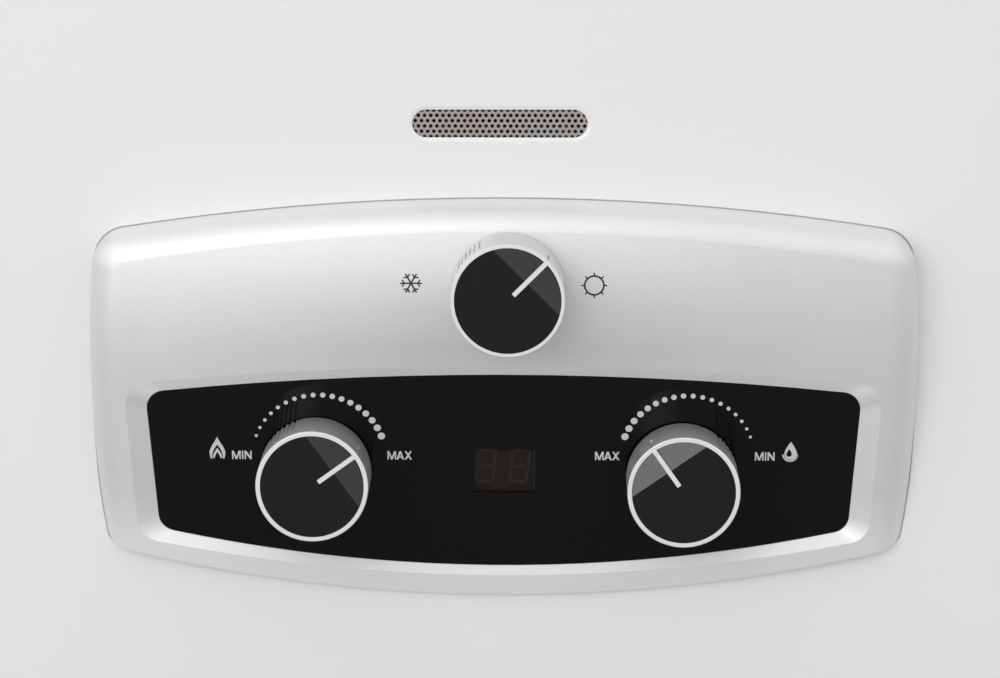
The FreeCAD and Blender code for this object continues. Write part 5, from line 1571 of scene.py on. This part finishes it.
@dataclass
class FlueAndBail:
    """Hood, cap and folding bail on top."""

    def build(self) -> None:
        """Dress the top's solids."""
        dress("flue_hood", ZINC)
        dress("rain_cap", STEEL_X)
        dress("cap_posts", STEEL_Z)
        dress("bail_lugs", STEEL_Y)
        dress("carry_bail", STEEL_X)
        dress("bail_grip", SoftGrip("grip_rubber_skin"))


@dataclass
class PipeThreads:
    """Threaded ends of the three pipe fittings, cut in place of their plain ends."""

    crest: float = 10.48
    root: float = 9.32
    bore: float = 7.5
    pitch: float = 1.814
    length: float = 14.0
    crest_flat: float = 0.1
    root_flat: float = 0.05
    sunk: float = 0.2
    cut_above: float = 0.01
    steps: int = 56
    turns_below: int = 2
    turns_above: int = 1
    smooth_degrees: float = 28.0
    nodes: Tuple[str, ...] = ("gas_inlet_fitting", "cold_inlet_fitting", "hot_outlet_fitting")

    def swept(self, profile: Outline, rise: float, turns: int) -> bpy.types.Object:
        """Sweep an open profile round the Z axis.

        Args:
            profile: Corners, as distance from the axis and height, in millimetres.
            rise: Height gained in a turn.
            turns: Number of turns.

        Returns:
            The swept skin.
        """
        poly_curve([profile], lambda out, height: (out, 0.0, height), False)
        bpy.ops.object.convert(target="MESH")
        thing = bpy.context.object
        screw = thing.modifiers.new("screw", "SCREW")
        screw.axis = "Z"
        screw.screw_offset = rise * MM
        screw.iterations = turns
        screw.steps = screw.render_steps = self.steps
        screw.use_merge_vertices = True
        screw.merge_threshold = MERGE_SOLID
        bpy.ops.object.modifier_apply(modifier="screw")
        return thing

    def sleeve(self) -> bpy.types.Object:
        """Model one threaded sleeve, its foot at height 0.

        The thread is swept past both ends and then cut to length.

        Returns:
            The closed sleeve.
        """
        tall = self.length + self.sunk
        turns = math.ceil(tall / self.pitch) + self.turns_below + self.turns_above
        groove = [(self.crest, 0.0), (self.crest, self.crest_flat),
                  (self.root, 0.5 - self.root_flat), (self.root, 0.5 + self.root_flat),
                  (self.crest, 1.0 - self.crest_flat), (self.crest, 1.0)]
        corners = [(out, (height - self.turns_below) * self.pitch) for out, height in groove]
        skin = self.swept(corners, self.pitch, turns)
        with editing(skin):
            bpy.ops.mesh.remove_doubles(threshold=MERGE_SOLID)
            bisect((0.0, 0.0, 0.0), (0.0, 0.0, 1.0), clear_inner=True)
            bisect((0.0, 0.0, tall * MM), (0.0, 0.0, 1.0), clear_outer=True)
        wall = self.swept([(self.bore, 0.0), (self.bore, tall)], 0.0, 1)
        whole = merge([skin, wall])
        for height in (0.0, tall * MM):
            self.cap_at(whole, height)
        return tidy_print(whole)

    def cap_at(self, thing: bpy.types.Object, height: float) -> None:
        """Fill the open ring between the thread and the bore.

        Args:
            thing: The sleeve.
            height: Height of the ring, in metres.
        """
        pick(thing)
        for part in (thing.data.vertices, thing.data.edges, thing.data.polygons):
            part.foreach_set("select", [False] * len(part))
        for vertex in thing.data.vertices:
            vertex.select = abs(vertex.co.z - height) < 2 * MERGE_SOLID
        for edge in thing.data.edges:
            edge.select = all(thing.data.vertices[end].select for end in edge.vertices)
        bpy.ops.object.mode_set(mode="EDIT")
        bpy.ops.mesh.select_mode(type="EDGE")
        bpy.ops.mesh.fill(use_beauty=True)
        bpy.ops.mesh.select_mode(type="VERT")
        bpy.ops.object.mode_set(mode="OBJECT")

    def upper_part(self, node: str, cut: float) -> bpy.types.Object:
        """Copy a fitting and keep what is above its plain end.

        Args:
            node: Name of the fitting.
            cut: Height of the cut, in metres.

        Returns:
            The closed copy.
        """
        thing = copied_solid(node)
        with editing(thing):
            bisect((0.0, 0.0, cut), (0.0, 0.0, 1.0), clear_inner=True, use_fill=True)
        return thing

    def build(self) -> None:
        """Replace the three fittings by threaded ones."""
        pattern = self.sleeve()
        for node in self.nodes:
            low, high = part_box(node)
            centre = (low + high) / 2
            sleeve = own_copy(pattern)
            settle(sleeve, Matrix.Translation(Vector((centre.x, centre.y, low.z))))
            upper = self.upper_part(node, low.z + (self.length + self.cut_above) * MM)
            thing = hand_over(merge([upper, sleeve]), node + "_threaded", "casing", BRASS)
            pick(thing)
            bpy.ops.object.shade_smooth_by_angle(angle=math.radians(self.smooth_degrees))
            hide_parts(node)
        pick(pattern)
        bpy.ops.object.delete()


@dataclass
class Works:
    """Exchanger, burner, valves, ignition and battery box."""

    finishes: Dict[str, Finish] = field(default_factory=lambda: {
        "exchanger_jacket": COPPER, "exchanger_tubes": COPPER, "exchanger_fins": COPPER,
        "exchanger_coil": COPPER, "chamber_brackets": ZINC, "riser_pipe": COPPER,
        "hot_outlet_pipe": COPPER, "hot_outlet_fitting": BRASS, "cold_inlet_fitting": BRASS,
        "gas_inlet_fitting": BRASS, "inlet_filter": STEEL_Z, "thermal_cutout": BLACK_PLASTIC,
        "temperature_sensor": BRASS, "burner_bars": BurnedSteel("burned_steel"),
        "burner_frame": ZINC, "gas_manifold": CAST, "gas_nozzles": BRASS,
        "spark_electrode": Glazed("glazed_ceramic"), "flame_sensor": Glazed("glazed_ceramic"),
        "igniter_box": BLACK_PLASTIC, "gas_valve_body": CAST, "gas_feed_tube": CAST,
        "solenoid_valve": ZINC, "water_valve_body": BRASS, "water_valve_cover": BRASS,
        "diaphragm": WovenRubber("woven_rubber"), "push_rod": STEEL_X, "microswitch": BLACK_PLASTIC,
        "switch_lever": STEEL_Z, "drain_plug": BLACK_PLASTIC, "battery_box": BLACK_PLASTIC,
        "battery_cells": CellJacket("cell_sleeve"), "battery_contacts": PLATING,
        "battery_door": BLACK_PLASTIC, "door_contact": PLATING})

    def build(self) -> None:
        """Dress the inner solids."""
        for node, finish in self.finishes.items():
            dress(node, finish)


# ---- studio --------------------------------------------------------------------
@dataclass
class Studio:
    """Pale floor, soft light and camera."""

    focal_px: float = 3768.7
    image_width: float = 1000.0
    eye: Tuple[float, float, float] = (17.4, -1334.3, -180.3)
    pitch: float = 11.580
    yaw: float = 0.888
    roll: float = -0.033
    sensor_mm: float = 36.0
    floor_half: float = 4.0
    floor_gap: float = 0.0005
    key_at: Tuple[float, float, float] = (-1.11, -2.78, 0.49)
    key_size: Tuple[float, float] = (1.95, 1.85)
    key_aim: Tuple[float, float, float] = (0.0, -0.14, -0.42)
    key_power: float = 21.5
    world_horizon: float = 0.62
    world_zenith: float = 0.96
    world_sides: float = 0.36
    world_lean: float = 0.12

    def camera(self) -> None:
        """Set the camera."""
        p, y, r = (math.radians(value) for value in (self.pitch, self.yaw, self.roll))
        ahead = Vector((-math.sin(y) * math.cos(p), math.cos(y) * math.cos(p), -math.sin(p)))
        right = ahead.cross(Vector((0.0, 0.0, 1.0))).normalized()
        up = right.cross(ahead)
        across = right * math.cos(r) + up * math.sin(r)
        above = up * math.cos(r) - right * math.sin(r)
        clear_selection()
        bpy.ops.object.camera_add()
        camera = bpy.context.object
        camera.data.sensor_width = self.sensor_mm
        camera.data.lens = self.focal_px * self.sensor_mm / self.image_width
        camera.data.clip_start = 0.01
        turn = Matrix((across, above, -ahead)).transposed()
        camera.matrix_world = Matrix.Translation(Vector(self.eye) * MM) @ turn.to_4x4()
        bpy.context.scene.camera = camera

    def floor(self) -> None:
        """Pale floor under the object."""
        low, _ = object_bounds()
        clear_selection()
        bpy.ops.mesh.primitive_plane_add(size=2 * self.floor_half,
                                         location=(0.0, 0.0, low[2] - self.floor_gap))
        floor = bpy.context.object
        floor.name = "studio_floor"
        bench = Bench("studio_floor_paint")
        cloud = bench.noise(3.0, 2.0)
        bench.finish(bench.blend(cloud, (0.43, 0.43, 0.43), (0.45, 0.45, 0.45)), 0.7)
        floor.data.materials.append(bench.material)
        floor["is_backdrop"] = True

    def key(self) -> None:
        """Large soft lamp at the upper left."""
        clear_selection()
        bpy.ops.object.light_add(type="AREA", location=self.key_at)
        lamp = bpy.context.object
        lamp.name = "key_softbox"
        lamp.data.shape = "RECTANGLE"
        lamp.data.size, lamp.data.size_y = self.key_size
        lamp.data.energy = self.key_power
        aim = Vector(self.key_aim) - Vector(self.key_at)
        lamp.rotation_euler = aim.to_track_quat("-Z", "Y").to_euler()
        lamp.visible_camera = False

    def world(self) -> None:
        """Even pale surround, a little brighter overhead and at the sides, most at the left."""
        world = bpy.context.scene.world or bpy.data.worlds.new("studio_world")
        bpy.context.scene.world = world
        world.use_nodes = True
        board = Board(world.node_tree)
        across, _, height = board.axes(board.point("Generated"))
        rise = self.world_zenith - self.world_horizon
        level = self.world_horizon + height.ramp(0.0, 1.0) * rise
        level = level + abs(across).ramp(0.05, 0.50) * self.world_sides - across * self.world_lean
        ground = board.node("ShaderNodeBackground", {}, {"Color": opaque((1.0, 1.0, 1.0)),
                                                         "Strength": level})
        board.node("ShaderNodeOutputWorld", {}, {0: ground.outputs[0]})

    def build(self) -> None:
        """Set the whole studio."""
        self.world()
        self.floor()
        self.key()
        self.camera()
        bpy.context.scene.view_settings.view_transform = "Standard"


def main() -> None:
    """Build the sub-assemblies in order."""
    logging.basicConfig(level=logging.INFO, format="%(message)s")
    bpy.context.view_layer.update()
    parts = [Casing(), ControlPanel(), Knob("gas", (0.68, 0.68, 0.68)),
             Knob("water", (0.68, 0.68, 0.68)), Knob("season", (0.73, 0.73, 0.73), side_metal=0.45),
             FlueAndBail(), Works(), PipeThreads(), Studio()]
    for part in parts:
        LOG.info("-- %s", type(part).__name__)
        part.build()


if __name__ == "__main__":
    main()
